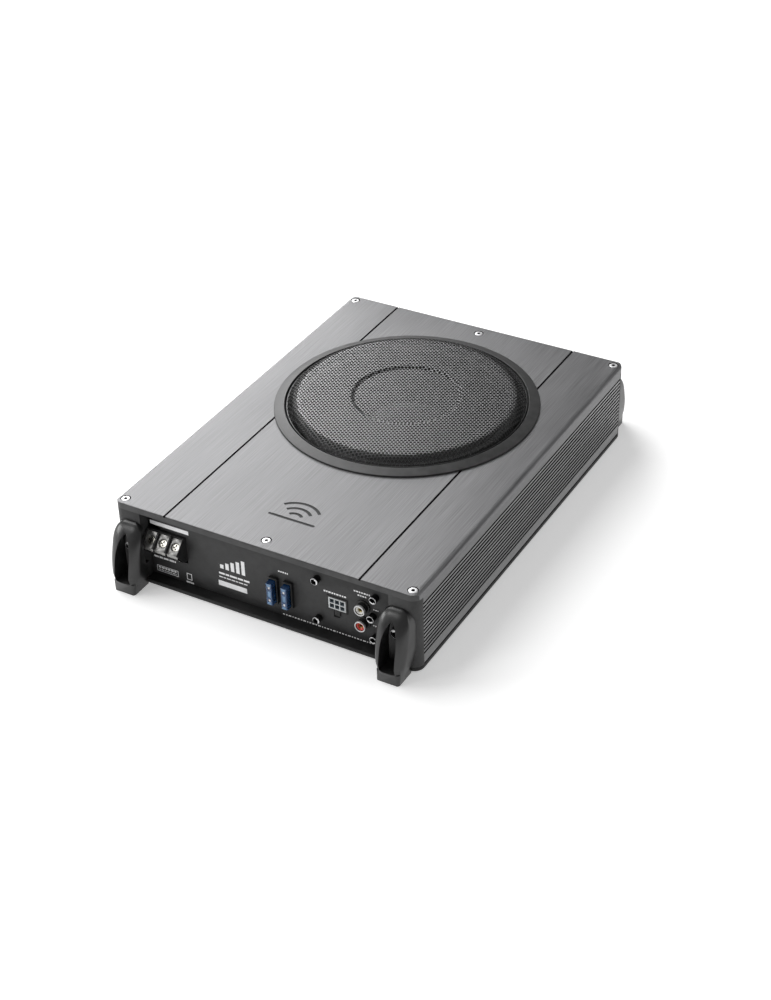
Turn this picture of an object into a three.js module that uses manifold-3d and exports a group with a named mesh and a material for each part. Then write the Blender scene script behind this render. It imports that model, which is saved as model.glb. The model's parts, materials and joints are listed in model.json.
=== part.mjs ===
// Flat powered subwoofer for a car: a finned aluminium case with an 8-inch driver under a domed grille.
// Millimetres, +Z up. The origin is on the floor under the middle of the case, and the connectors face -Y.
import * as THREE from "three";
import { mergeVertices } from "three/addons/utils/BufferGeometryUtils.js";
import Module from "manifold-3d";

const wasm = await Module();
wasm.setup();

// ---------------------------------------------------------------- driving dimensions

const CASE_WIDTH = 250;
const CASE_LENGTH = 343;
const CASE_BOTTOM = 1;
const LID_TOP = 66.5;
const CORNER_RADIUS = 8;

const LID_THICKNESS = 5;
const LID_FOLD_RADIUS = 4;
const LID_EDGE_RADIUS = 1;
const LID_FLANGE_THICKNESS = 3;
const LID_FLANGE_DROP = 9.6;
const LID_GROOVE_X = 80.2;
const LID_GROOVE_WIDTH = 1.3;
const LID_GROOVE_DEPTH = 1;

const FLOOR_THICKNESS = 3.1;
const STANDOFF_HEIGHT = 5.7;

const FIN_COUNT = 14;
const FIN_PITCH = 3.26;
const FIN_GROOVE = 1.7;
const FIN_DEPTH = 3.2;
const SIDE_WALL = 4.3;
const SIDE_FLANGE_REACH = 17;
const SIDE_FLANGE_THICKNESS = 3;

const POST_WIDTH = 22.6;
const PANEL_RECESS = 9;
const PANEL_THICKNESS = 2;
const WEB_THICKNESS = 3;

const DRIVER_Y = 40.4;
const RING_OUTER = 102.5;
const RING_LIP = 94.1;
const RING_HEIGHT = 3.5;
const LID_OPENING = 92;
const GRILLE_HEIGHT = 8.4;
const GRILLE_FLAT = 82;
const GRILLE_SHEET = 1;
const GRILLE_DISC = 41;
const GRILLE_STEP = 1.5;

const FOOT_X = 110;
const FOOT_HALF_WIDTH = 12.3;
const FOOT_DEPTH = 20.4;
const FOOT_TOP = 53.7;
const FOOT_SQUARENESS = 4;
const FOOT_SHOULDER = 38;
const FOOT_WAIST = 26;
const FOOT_TAPER = 2.3;
const FOOT_SCREW_Z = 34.5;
const FOOT_SCREW_RADIUS = 2.4;

const TERMINAL_PITCH = 10.75;
const TERMINAL_MIDDLE_X = -85.85;
const TERMINAL_WIDTH = 31.9;
const CLAMP_WIDTH = 9.2;
const CLAMP_FACE_Y = -169.1;
const CLAMP_FACE_Z = 39.6;
const CLAMP_SCREW_RADIUS = 3;
const CLAMP_SCREW_LENGTH = 5.3;
const CLAMP_TRAVEL = 4;
const WIRE_FLOOR = 26.6;
const WIRE_CEILING = 32.2;
const WIRE_WIDTH = 6.4;
const WIRE_END_Y = -156;

const FUSE_XS = [4.2, 16.4];
const FUSE_Z = 25.6;
const FUSE_THICKNESS = 4.8;
const FUSE_HEIGHT = 18.6;

const SPEAKER_SOCKET = { x: 56.2, z: 30.5, width: 14, height: 9.4 };
const RCA_X = 77.2;
const RCA_ZS = [36.2, 22.3];
const RCA_RADIUS = 4.15;
const RCA_BOSS_RADIUS = 5.3;

const CONTROL_Z = 33;
const LEVEL_X = 62;
const LOWPASS_X = 30;
const PHASE_X = 0;
const REMOTE_X = -36;
const KNOB_RADIUS = 6.5;

const RUNNING_GAP = 0.1;
const HALF_WIDTH = CASE_WIDTH / 2;
const HALF_LENGTH = CASE_LENGTH / 2;
const LID_UNDERSIDE = LID_TOP - LID_THICKNESS;
const FLOOR_TOP = CASE_BOTTOM + FLOOR_THICKNESS;
const SIDE_HALF_LENGTH = HALF_LENGTH - CORNER_RADIUS;
const PANEL_FACE = HALF_LENGTH - PANEL_RECESS;
const WEB_FACE = PANEL_FACE - PANEL_THICKNESS;
const WEB_BACK = WEB_FACE - WEB_THICKNESS;
const POST_INNER = HALF_WIDTH - POST_WIDTH;
const LID_SCREWS = [
  [-118.1, -165], [118.1, -165], [-118.1, 165], [118.1, 165], [0, -162], [0, 162],
];

// ---------------------------------------------------------------- finishes

function finish(color, roughness, metalness) {
  return new THREE.MeshStandardMaterial({ color, roughness, metalness });
}

const brushedAluminium = finish(0x6f7072, 0.42, 0.9);
const finnedAluminium = finish(0x606163, 0.45, 0.9);
const charcoalCoat = finish(0x3a3a3b, 0.6, 0.2);
const ringCoat = finish(0x5c5d5f, 0.4, 0.7);
const grilleSteel = finish(0x2b2b2c, 0.4, 0.8);
const blackPlastic = finish(0x161617, 0.5, 0);
const screwSteel = finish(0xc9c9c7, 0.25, 1);
const blackSteel = finish(0x202022, 0.35, 0.9);
const nickel = finish(0xc4c2ba, 0.25, 1);
const copper = finish(0xb0693a, 0.35, 1);
const fuseBlue = finish(0x2d5f9e, 0.2, 0);
const whitePlastic = finish(0xe8e8e4, 0.4, 0);
const redPlastic = finish(0xb3221c, 0.4, 0);
const blackRubber = finish(0x1c1c1c, 0.8, 0);
const conePaper = finish(0x26262a, 0.7, 0);
const ferrite = finish(0x2f3033, 0.6, 0.2);
const zincSteel = finish(0x9a9b9c, 0.4, 0.9);
const spiderCloth = finish(0xb98a4a, 0.9, 0);
const boardGreen = finish(0x1f5a34, 0.5, 0);
const foam = finish(0x2a2a2b, 0.95, 0);

// ---------------------------------------------------------------- solids

// A closed three.js geometry as a solid that can be cut and joined.
function solidOf(geometry) {
  const bare = geometry.clone();
  bare.deleteAttribute("normal");
  bare.deleteAttribute("uv");
  const merged = mergeVertices(bare, 1e-4);
  const corners = [];
  const index = merged.index.array;
  for (let i = 0; i < index.length; i += 3) {
    const [a, b, c] = [index[i], index[i + 1], index[i + 2]];
    if (a !== b && b !== c && c !== a) {
      corners.push(a, b, c);
    }
  }
  const vertProperties = new Float32Array(merged.attributes.position.array);
  const triVerts = new Uint32Array(corners);
  return new wasm.Manifold(new wasm.Mesh({ numProp: 3, vertProperties, triVerts }));
}

function geometryOf(solid) {
  const made = solid.getMesh();
  const geometry = new THREE.BufferGeometry();
  geometry.setAttribute("position", new THREE.BufferAttribute(made.vertProperties, 3));
  geometry.setIndex(new THREE.BufferAttribute(made.triVerts, 1));
  geometry.computeVertexNormals();
  return geometry;
}

function united(...solids) {
  return solids.reduce((sum, next) => sum.add(next));
}

function cut(solid, ...tools) {
  return tools.reduce((rest, tool) => rest.subtract(tool), solid);
}

function outline(points) {
  return new THREE.Shape(points.map(([x, y]) => new THREE.Vector2(x, y)));
}

function rectangle(x0, y0, x1, y1) {
  return outline([[x0, y0], [x1, y0], [x1, y1], [x0, y1]]);
}

function roundedRectangle(halfWidth, halfHeight, radius) {
  const shape = new THREE.Shape();
  const quarter = Math.PI / 2;
  shape.absarc(halfWidth - radius, halfHeight - radius, radius, 0, quarter);
  shape.absarc(radius - halfWidth, halfHeight - radius, radius, quarter, 2 * quarter);
  shape.absarc(radius - halfWidth, radius - halfHeight, radius, 2 * quarter, 3 * quarter);
  shape.absarc(halfWidth - radius, radius - halfHeight, radius, 3 * quarter, 4 * quarter);
  return shape;
}

function extruded(shape, depth, curveSegments) {
  return new THREE.ExtrudeGeometry(shape, { depth, bevelEnabled: false, curveSegments });
}

// An outline in X and Y, between two heights.
function prismZ(shape, z0, z1, curveSegments = 6) {
  const geometry = extruded(shape, z1 - z0, curveSegments);
  geometry.translate(0, 0, z0);
  return solidOf(geometry);
}

// An outline in X and Z, between two places along Y.
function prismY(shape, y0, y1, curveSegments = 6) {
  const geometry = extruded(shape, y1 - y0, curveSegments);
  geometry.rotateX(Math.PI / 2);
  geometry.translate(0, y1, 0);
  return solidOf(geometry);
}

// An outline in Y and Z, between two places along X.
function prismX(shape, x0, x1, curveSegments = 6) {
  const geometry = extruded(shape, x1 - x0, curveSegments);
  const alongX = new THREE.Matrix4().makeBasis(
    new THREE.Vector3(0, 1, 0),
    new THREE.Vector3(0, 0, 1),
    new THREE.Vector3(1, 0, 0),
  );
  geometry.applyMatrix4(alongX);
  geometry.translate(x0, 0, 0);
  return solidOf(geometry);
}

function box(x0, y0, z0, x1, y1, z1) {
  return prismZ(rectangle(x0, y0, x1, y1), z0, z1);
}

// A profile of radius and height, turned about the Z axis. It starts and ends on the axis, or closes on itself.
function turned(profile, segments = 40) {
  const points = profile.map(([r, z]) => new THREE.Vector2(r, z));
  if (THREE.ShapeUtils.area(points) < 0) {
    points.reverse();
  }
  const onAxis = points.some((point) => point.x === 0);
  if (!onAxis) {
    points.push(points[0].clone());
  } else {
    while (!(points[0].x === 0 && points[points.length - 1].x === 0)) {
      points.push(points.shift());
    }
  }
  const geometry = new THREE.LatheGeometry(points, segments);
  geometry.rotateX(Math.PI / 2);
  return solidOf(geometry);
}

function cylinderZ(radius, z0, z1, segments = 18) {
  return turned([[0, z0], [radius, z0], [radius, z1], [0, z1]], segments);
}

// A cylinder along Y.
function cylinderY(radius, y0, y1, x, z, segments = 18) {
  return cylinderZ(radius, -y1, -y0, segments).rotate([90, 0, 0]).translate([x, 0, z]);
}

function hexagonZ(acrossFlats, z0, z1) {
  return cylinderZ(acrossFlats / Math.sqrt(3), z0, z1, 6);
}

// A skin of closed rings of points, each with the same count, closed by a fan at both ends.
function lofted(rings) {
  const count = rings[0].length;
  const last = rings.length - 1;
  const position = rings.flat(2);
  const index = [];
  for (let ring = 0; ring < last; ring += 1) {
    for (let i = 0; i < count; i += 1) {
      const a = ring * count + i;
      const b = ring * count + ((i + 1) % count);
      index.push(a, b, b + count, a, b + count, a + count);
    }
  }
  for (let i = 1; i < count - 1; i += 1) {
    index.push(0, i + 1, i);
    index.push(last * count, last * count + i, last * count + i + 1);
  }
  const geometry = new THREE.BufferGeometry();
  geometry.setAttribute("position", new THREE.Float32BufferAttribute(position, 3));
  geometry.setIndex(index);
  return solidOf(geometry);
}

const subwoofer = new THREE.Group();

function place(name, solid, material, parent = subwoofer) {
  const mesh = new THREE.Mesh(geometryOf(solid), material);
  mesh.name = name;
  parent.add(mesh);
  return mesh;
}

// ---------------------------------------------------------------- case

// A cross-section with rounded upper corners, for cutting the lid's folded and eased edges.
function crowned(half, bottom, top, radius) {
  const shape = new THREE.Shape();
  shape.moveTo(-half, bottom);
  shape.lineTo(half, bottom);
  shape.absarc(half - radius, top - radius, radius, 0, Math.PI / 2);
  shape.absarc(radius - half, top - radius, radius, Math.PI / 2, Math.PI);
  return shape;
}

function lid() {
  const flangeBottom = LID_TOP - LID_FLANGE_DROP;
  const plate = prismZ(roundedRectangle(HALF_WIDTH, HALF_LENGTH, CORNER_RADIUS), LID_UNDERSIDE, LID_TOP);
  const flangeEnd = SIDE_HALF_LENGTH - RUNNING_GAP;
  const flanges = [-1, 1].map((side) => {
    const inner = side * (HALF_WIDTH - LID_FLANGE_THICKNESS);
    const outer = side * HALF_WIDTH;
    return box(Math.min(inner, outer), -flangeEnd, flangeBottom, Math.max(inner, outer), flangeEnd, LID_TOP - 1);
  });
  const fold = crowned(HALF_WIDTH, flangeBottom, LID_TOP, LID_FOLD_RADIUS);
  const across = prismY(fold, -HALF_LENGTH - 1, HALF_LENGTH + 1);
  const edge = crowned(HALF_LENGTH, flangeBottom, LID_TOP, LID_EDGE_RADIUS);
  const along = prismX(edge, -HALF_WIDTH - 1, HALF_WIDTH + 1, 2);
  let solid = united(plate, ...flanges).intersect(across).intersect(along);
  solid = cut(solid, cylinderZ(LID_OPENING, 0, 2 * LID_TOP, 60).translate([0, DRIVER_Y, 0]));
  for (const side of [-1, 1]) {
    const middle = side * LID_GROOVE_X;
    const half = LID_GROOVE_WIDTH / 2;
    const bottom = LID_TOP - LID_GROOVE_DEPTH;
    solid = cut(solid, box(middle - half, -HALF_LENGTH, bottom, middle + half, HALF_LENGTH, LID_TOP + 1));
  }
  for (const [x, y] of LID_SCREWS) {
    const seat = cylinderZ(4.2, LID_TOP - 3, LID_TOP + 1, 16);
    const hole = cylinderZ(1.7, 0, LID_TOP, 8);
    solid = cut(solid, united(seat, hole).translate([x, y, 0]));
  }
  return solid;
}

function floorPlate() {
  const outlineShape = roundedRectangle(HALF_WIDTH, HALF_LENGTH, CORNER_RADIUS);
  const plate = prismZ(outlineShape, CASE_BOTTOM, FLOOR_TOP);
  const standoffs = [[-88, -142], [88, -142], [-88, -68], [88, -68]].map(([x, y]) =>
    cylinderZ(3.2, FLOOR_TOP - 1, FLOOR_TOP + STANDOFF_HEIGHT, 12).translate([x, y, 0]));
  return united(plate, ...standoffs);
}

// The extruded side: fins outside, a flange to the lid and one to the floor inside.
function sideExtrusion() {
  const outer = HALF_WIDTH;
  const root = outer - FIN_DEPTH;
  const inner = root - SIDE_WALL;
  const reach = outer - SIDE_FLANGE_REACH;
  const points = [[outer - 1.5, FLOOR_TOP], [outer - 1.5, FLOOR_TOP + 1.3], [outer, FLOOR_TOP + 1.3]];
  const firstGroove = LID_TOP - LID_FLANGE_DROP - FIN_GROOVE;
  for (let fin = FIN_COUNT - 1; fin > 0; fin -= 1) {
    const low = firstGroove - fin * FIN_PITCH;
    points.push([outer, low], [root, low], [root, low + FIN_GROOVE], [outer, low + FIN_GROOVE]);
  }
  points.push([outer, firstGroove], [root, firstGroove], [root, LID_UNDERSIDE]);
  points.push([reach, LID_UNDERSIDE], [reach, LID_UNDERSIDE - SIDE_FLANGE_THICKNESS]);
  points.push([inner, LID_UNDERSIDE - SIDE_FLANGE_THICKNESS], [inner, FLOOR_TOP + SIDE_FLANGE_THICKNESS]);
  points.push([reach, FLOOR_TOP + SIDE_FLANGE_THICKNESS], [reach, FLOOR_TOP]);
  return prismY(outline(points), -SIDE_HALF_LENGTH, SIDE_HALF_LENGTH);
}

function lidScrewHoles(solid) {
  const depth = 10;
  return LID_SCREWS.reduce((rest, [x, y]) =>
    cut(rest, cylinderZ(1.7, LID_UNDERSIDE - depth, LID_TOP, 8).translate([x, y, 0])), solid);
}

// Corner posts and the web behind the panel, in one casting, drawn for the front.
function endCap(openings) {
  const shape = new THREE.Shape();
  const radius = CORNER_RADIUS;
  const webEnd = HALF_WIDTH - SIDE_FLANGE_REACH - 0.5;
  shape.moveTo(-HALF_WIDTH, -SIDE_HALF_LENGTH);
  shape.absarc(radius - HALF_WIDTH, -SIDE_HALF_LENGTH, radius, Math.PI, 1.5 * Math.PI);
  shape.lineTo(-POST_INNER, -HALF_LENGTH);
  shape.lineTo(-POST_INNER, -WEB_FACE);
  shape.lineTo(POST_INNER, -WEB_FACE);
  shape.lineTo(POST_INNER, -HALF_LENGTH);
  shape.absarc(HALF_WIDTH - radius, -SIDE_HALF_LENGTH, radius, 1.5 * Math.PI, 2 * Math.PI);
  shape.lineTo(webEnd, -SIDE_HALF_LENGTH);
  shape.lineTo(webEnd, -WEB_BACK);
  shape.lineTo(-webEnd, -WEB_BACK);
  shape.lineTo(-webEnd, -SIDE_HALF_LENGTH);
  const casting = prismZ(shape, FLOOR_TOP, LID_UNDERSIDE, 6);
  const lug = box(-12, -167, LID_UNDERSIDE - 4, 12, -WEB_FACE + 1, LID_UNDERSIDE);
  const screwHoles = [-FOOT_X, FOOT_X].map((x) =>
    cylinderY(FOOT_SCREW_RADIUS + RUNNING_GAP, -HALF_LENGTH - 1, -SIDE_HALF_LENGTH - 1, x, FOOT_SCREW_Z, 12));
  return cut(united(casting, lug), ...screwHoles, ...openings);
}

// The printed sheet in front of the web, drawn for the front.
function panel(openings) {
  const half = POST_INNER - 0.2;
  const sheet = box(-half, -PANEL_FACE, FLOOR_TOP + 0.2, half, -WEB_FACE, LID_UNDERSIDE - 4.2);
  return cut(sheet, ...openings);
}

const aroundTheEnd = [-HALF_LENGTH + 0.5, -WEB_BACK + 1];

function windowAt(x, z, width, height) {
  const [front, back] = aroundTheEnd;
  return box(x - width / 2, front, z - height / 2, x + width / 2, back, z + height / 2);
}

function roundHoleAt(x, z, radius) {
  const [front, back] = aroundTheEnd;
  return cylinderY(radius, front, back, x, z);
}

const frontOpenings = [
  windowAt(TERMINAL_MIDDLE_X, 34.2, TERMINAL_WIDTH + 0.4, 23.2),
  ...FUSE_XS.map((x) => windowAt(x, FUSE_Z, 7, 21)),
  windowAt(SPEAKER_SOCKET.x, SPEAKER_SOCKET.z, SPEAKER_SOCKET.width + 1.4, SPEAKER_SOCKET.height + 1.4),
  windowAt(SPEAKER_SOCKET.x - 0.8, 22.5, 5, 8),
  ...RCA_ZS.map((z) => roundHoleAt(RCA_X, z, RCA_BOSS_RADIUS + RUNNING_GAP)),
];

// The rear end is drawn at the front and turned half a turn, so its places along X change sign.
const rearOpenings = [
  ...[LEVEL_X, LOWPASS_X].map((x) => roundHoleAt(-x, CONTROL_Z, 3.3)),
  windowAt(-PHASE_X, CONTROL_Z, 9, 4.4),
  windowAt(-REMOTE_X, CONTROL_Z, 15.2, 13.2),
];

place("top_plate", lid(), brushedAluminium);
place("bottom_plate", floorPlate(), charcoalCoat);
place("side_extrusion_right", lidScrewHoles(sideExtrusion()), finnedAluminium);
place("side_extrusion_left", lidScrewHoles(sideExtrusion().rotate([0, 0, 180])), finnedAluminium);
place("front_end_cap", lidScrewHoles(endCap(frontOpenings)), charcoalCoat);
place("rear_end_cap", lidScrewHoles(endCap(rearOpenings).rotate([0, 0, 180])), charcoalCoat);
place("front_panel", panel(frontOpenings), charcoalCoat);
place("rear_panel", panel(rearOpenings).rotate([0, 0, 180]), charcoalCoat);

// Countersunk cap screws that hold the lid down.
function lidScrew() {
  const headBottom = LID_TOP - 3;
  const headTop = headBottom + 2.2;
  const profile = [
    [0, headBottom - 6], [1.4, headBottom - 6], [1.4, headBottom], [3.2, headBottom],
    [3.2, headTop - 0.5], [2.7, headTop], [0, headTop],
  ];
  return cut(turned(profile, 12), hexagonZ(3, headTop - 1.4, headTop + 1));
}

LID_SCREWS.forEach(([x, y], i) => {
  place(`lid_screw_${i + 1}`, lidScrew(), screwSteel).position.set(x, y, 0);
});

// ---------------------------------------------------------------- grille and its ring

function trimRing() {
  const rebate = 1.2;
  const profile = [
    [RING_LIP, LID_TOP + rebate], [RING_LIP + 2.7, LID_TOP + rebate], [RING_LIP + 2.7, LID_TOP],
    [RING_OUTER, LID_TOP], [RING_OUTER, LID_TOP + 1.4], [RING_LIP + 0.6, LID_TOP + RING_HEIGHT],
    [RING_LIP, LID_TOP + RING_HEIGHT - 0.3],
  ];
  return turned(profile, 60);
}

// Half of the sheet's section, from the flange under the ring to the sunk disc in the middle.
function grilleSection(inset) {
  const reach = RING_LIP - 1.1 - GRILLE_FLAT - inset;
  const height = GRILLE_HEIGHT - inset;
  const steps = 4;
  const points = [];
  for (let step = 0; step <= steps; step += 1) {
    const angle = (step / steps) * (Math.PI / 2);
    points.push([GRILLE_FLAT + reach * Math.cos(angle), LID_TOP + height * Math.sin(angle)]);
  }
  points.push([GRILLE_DISC + 1.4 - inset * 0.4, LID_TOP + height]);
  points.push([GRILLE_DISC - inset * 0.4, LID_TOP + height - GRILLE_STEP]);
  points.push([0, LID_TOP + height - GRILLE_STEP]);
  return points;
}

function grille() {
  const flange = RING_LIP + 2.3;
  const low = LID_TOP + 0.05;
  const top = low + GRILLE_SHEET;
  const outside = grilleSection(0).slice(1);
  const inside = grilleSection(GRILLE_SHEET).slice(1);
  const profile = [[flange, low], [flange, top], [RING_LIP - 1.1, top], ...outside];
  profile.push(...inside.reverse(), [RING_LIP - 2.3, low]);
  return turned(profile, 48);
}

place("trim_ring", trimRing(), ringCoat).position.set(0, DRIVER_Y, 0);
place("grille", grille(), grilleSteel).position.set(0, DRIVER_Y, 0);

// ---------------------------------------------------------------- feet

// How far the foot stands out of the end cap at a height, along one cubic curve from its top to its toe.
function footReach(t) {
  const curve = new THREE.CubicBezierCurve(
    new THREE.Vector2(0.6, FOOT_TOP),
    new THREE.Vector2(8.4, FOOT_TOP - 1.2),
    new THREE.Vector2(0.85 * FOOT_DEPTH, 33),
    new THREE.Vector2(FOOT_DEPTH, 14.5),
  );
  return curve.getPoint(t);
}

// One level of the foot: a squared-off half oval in front of a straight back.
function footRing(reach, halfWidth, z) {
  const ring = [];
  const steps = 12;
  const power = 2 / FOOT_SQUARENESS;
  for (let step = 0; step <= steps; step += 1) {
    const angle = Math.PI * (step / steps);
    const x = Math.sign(Math.cos(angle)) * Math.abs(Math.cos(angle)) ** power;
    const y = Math.abs(Math.sin(angle)) ** power;
    ring.push([-halfWidth * x, -reach * y, z]);
  }
  ring.push([halfWidth, 3.4, z], [-halfWidth, 3.4, z]);
  return ring;
}

// The foot is widest between its waist and its shoulder, draws in below, and has a round crown above.
function footHalfWidth(z) {
  if (z > FOOT_SHOULDER) {
    const up = (z - FOOT_SHOULDER) / (FOOT_TOP + 0.8 - FOOT_SHOULDER);
    return FOOT_HALF_WIDTH * (1 - up ** 3) ** (1 / 3);
  }
  const down = Math.max(0, FOOT_WAIST - z) / FOOT_WAIST;
  return FOOT_HALF_WIDTH - FOOT_TAPER * down ** 1.5 * 1.6;
}

function foot() {
  const rings = [footRing(FOOT_DEPTH - 2, FOOT_HALF_WIDTH - FOOT_TAPER - 1, 7.6)];
  const levels = 9;
  for (let level = levels; level >= 0; level -= 1) {
    const { x: reach, y: z } = footReach(level / levels);
    rings.push(footRing(reach, footHalfWidth(z), z));
  }
  const body = lofted(rings);
  const toe = new THREE.Shape();
  toe.moveTo(-8.4, 0);
  toe.lineTo(-8.4, -17.6);
  toe.quadraticCurveTo(0, -22.2, 8.4, -17.6);
  toe.lineTo(8.4, 0);
  const sole = prismZ(toe, 0, 9, 6);
  const recess = new THREE.Shape();
  recess.moveTo(-6.2, 9.6);
  recess.lineTo(6.2, 9.6);
  recess.lineTo(6.2, 27);
  recess.bezierCurveTo(6.2, 36, 3.6, 44.5, 0, 47);
  recess.bezierCurveTo(-3.6, 44.5, -6.2, 36, -6.2, 27);
  const hollow = prismY(recess, -2 * FOOT_DEPTH, -3.2, 5);
  const screwHole = cylinderY(FOOT_SCREW_RADIUS + RUNNING_GAP, -10, 5, 0, FOOT_SCREW_Z, 12);
  return cut(united(body, sole), hollow, screwHole);
}

// The end cap's rounded corner cuts the back of the foot that wraps round it.
function cornerClearance(x, y) {
  const gap = 0.2;
  const shape = roundedRectangle(HALF_WIDTH + gap, HALF_LENGTH + gap, CORNER_RADIUS + gap);
  return prismZ(shape, -1, LID_TOP, 10).translate([-x, -y, 0]);
}

function footScrew() {
  const seat = 3.2;
  const profile = [[0, seat], [4.3, seat], [4.3, seat + 1], [3.2, seat + 2.8], [0, seat + 2.8]];
  const head = cut(turned(profile, 14), hexagonZ(3.6, seat + 1, seat + 4));
  const shank = cylinderZ(FOOT_SCREW_RADIUS, -6.5, seat + 0.5, 10);
  return united(head, shank).rotate([90, 0, 0]).translate([0, 0, FOOT_SCREW_Z]);
}

// The terminal block stands beside the left front foot, whose back edge is stepped to clear it.
function terminalClearance() {
  const left = TERMINAL_MIDDLE_X - TERMINAL_WIDTH / 2 - 0.4 + FOOT_X;
  return box(left, -4.6, 21.5, FOOT_HALF_WIDTH + 1, 4, 46.5);
}

for (const [end, turn] of [["front", 0], ["rear", Math.PI]]) {
  for (const side of [-1, 1]) {
    const corner = new THREE.Group();
    corner.rotation.z = turn;
    corner.position.set(side * FOOT_X * Math.cos(turn), -HALF_LENGTH * Math.cos(turn), 0);
    subwoofer.add(corner);
    const hand = side * Math.cos(turn) < 0 ? "left" : "right";
    const clearance = cornerClearance(side * FOOT_X, -HALF_LENGTH);
    const step = end === "front" && hand === "left" ? [terminalClearance()] : [];
    place(`foot_${end}_${hand}`, cut(foot(), clearance, ...step), blackPlastic, corner);
    place(`foot_screw_${end}_${hand}`, footScrew(), blackSteel, corner);
  }
}

// ---------------------------------------------------------------- power terminals

// The block's outline seen from the side, with its top sloped towards the screwdriver.
function terminalHousing() {
  const left = TERMINAL_MIDDLE_X - TERMINAL_WIDTH / 2;
  const right = TERMINAL_MIDDLE_X + TERMINAL_WIDTH / 2;
  const side = outline([
    [-150, 23], [-165.8, 24.9], [-172.9, 33.9], [-175.3, 36.7], [-166.1, 45.4], [-150, 45.4],
  ]);
  const flange = box(left - 2, -WEB_BACK, 20.6, right + 2, -152, 47.8);
  const pocket = outline([[-155, 25.5], [-180, 25.5], [-180, 50], [-164.7, 50], [-164.7, 44], [-155, 44]]);
  const pockets = [-1, 0, 1].map((step) => {
    const middle = TERMINAL_MIDDLE_X + step * TERMINAL_PITCH;
    return prismX(pocket, middle - CLAMP_WIDTH / 2, middle + CLAMP_WIDTH / 2);
  });
  return cut(united(prismX(side, left, right), flange), ...pockets);
}

const SCREW_TOP = -1.2;
const PAD_UNDERSIDE = SCREW_TOP - CLAMP_SCREW_LENGTH - RUNNING_GAP - 1;

// Stands a piece turned about Z on the clamp's sloping face, pointing out along the screw.
function ontoClampFace(solid) {
  return solid.rotate([45, 0, 0]).translate([0, CLAMP_FACE_Y, CLAMP_FACE_Z]);
}

function terminalClamp() {
  const side = outline([
    [-155, 25.5], [-166.5, 25.5], [-173.5, 32.9], [-173.5, 35.2], [-164.7, 44], [-155, 44],
  ]);
  const block = prismX(side, -CLAMP_WIDTH / 2, CLAMP_WIDTH / 2);
  const wireWay = box(-WIRE_WIDTH / 2, -180, WIRE_FLOOR, WIRE_WIDTH / 2, WIRE_END_Y, WIRE_CEILING);
  const bore = cylinderZ(CLAMP_SCREW_RADIUS + RUNNING_GAP, PAD_UNDERSIDE - CLAMP_TRAVEL - 0.4, 1, 16);
  const chamfer = cylinderZ(CLAMP_SCREW_RADIUS + 0.5, -1, 1, 16);
  return cut(block, wireWay, ontoClampFace(united(bore, chamfer)));
}

function terminalScrew() {
  const top = SCREW_TOP;
  const foot = SCREW_TOP - CLAMP_SCREW_LENGTH;
  const profile = [[0, foot], [CLAMP_SCREW_RADIUS, foot], [CLAMP_SCREW_RADIUS, top - 0.4]];
  profile.push([CLAMP_SCREW_RADIUS - 0.4, top], [0, top]);
  const slots = united(
    box(-2.1, -0.5, top - 1.6, 2.1, 0.5, top + 1),
    box(-0.5, -2.1, top - 1.6, 0.5, 2.1, top + 1),
  );
  return ontoClampFace(cut(turned(profile, 16), slots));
}

// The loose washer that the screw presses onto the wire.
function terminalPad() {
  return ontoClampFace(cylinderZ(CLAMP_SCREW_RADIUS - 0.2, PAD_UNDERSIDE, PAD_UNDERSIDE + 1, 14));
}

place("terminal_housing", terminalHousing(), blackPlastic);
[-1, 0, 1].forEach((step, i) => {
  const x = TERMINAL_MIDDLE_X + step * TERMINAL_PITCH;
  place(`terminal_clamp_${i + 1}`, terminalClamp(), nickel).position.x = x;
  place(`terminal_screw_${i + 1}`, terminalScrew(), nickel).position.x = x;
  place(`terminal_pad_${i + 1}`, terminalPad(), copper).position.x = x;
});

// ---------------------------------------------------------------- fuses

const BOARD_TOP = FLOOR_TOP + STANDOFF_HEIGHT + 1.6;
const BLADE_OFFSET = 5.6;
const FUSE_FACE = -170;
const FUSE_SEAT = -159;

function fuseHolder() {
  const [first, second] = FUSE_XS;
  const base = box(first - 4.6, -WEB_BACK, BOARD_TOP, second + 4.6, -148, FUSE_Z + 12);
  const bosses = FUSE_XS.map((x) =>
    box(x - 3.4, -PANEL_FACE - 0.4, FUSE_Z - 10.4, x + 3.4, -WEB_BACK + 1, FUSE_Z + 10.4));
  const seats = FUSE_XS.flatMap((x) => [
    box(x - FUSE_THICKNESS / 2 - 0.2, -180, FUSE_Z - 9.5, x + FUSE_THICKNESS / 2 + 0.2, FUSE_SEAT + 0.2, FUSE_Z + 9.5),
    ...[-1, 1].map((side) => {
      const z = FUSE_Z + side * BLADE_OFFSET;
      return box(x - 0.6, -160, z - 2.9, x + 0.6, -150, z + 2.9);
    }),
  ]);
  return cut(united(base, ...bosses), ...seats);
}

function fuse() {
  const half = FUSE_THICKNESS / 2;
  const tall = FUSE_HEIGHT / 2;
  const head = box(-half, FUSE_FACE, -tall, half, -164.6, tall);
  const waist = box(-half + 0.5, -165, -tall + 1, half - 0.5, FUSE_SEAT, tall - 1);
  const windows = [-1, 1].map((side) => box(-0.9, FUSE_FACE - 1, side * 5.4 - 1.1, 0.9, FUSE_FACE + 1.2, side * 5.4 + 1.1));
  const blades = [-1, 1].map((side) =>
    box(-0.35, FUSE_SEAT - 1, side * BLADE_OFFSET - 2.6, 0.35, FUSE_SEAT + 7, side * BLADE_OFFSET + 2.6));
  return united(cut(united(head, waist), ...windows), ...blades);
}

place("fuse_holder", fuseHolder(), blackPlastic);
place("fuse_left", fuse(), fuseBlue).position.set(FUSE_XS[0], 0, FUSE_Z);
place("fuse_right", fuse(), fuseBlue).position.set(FUSE_XS[1], 0, FUSE_Z);

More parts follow.
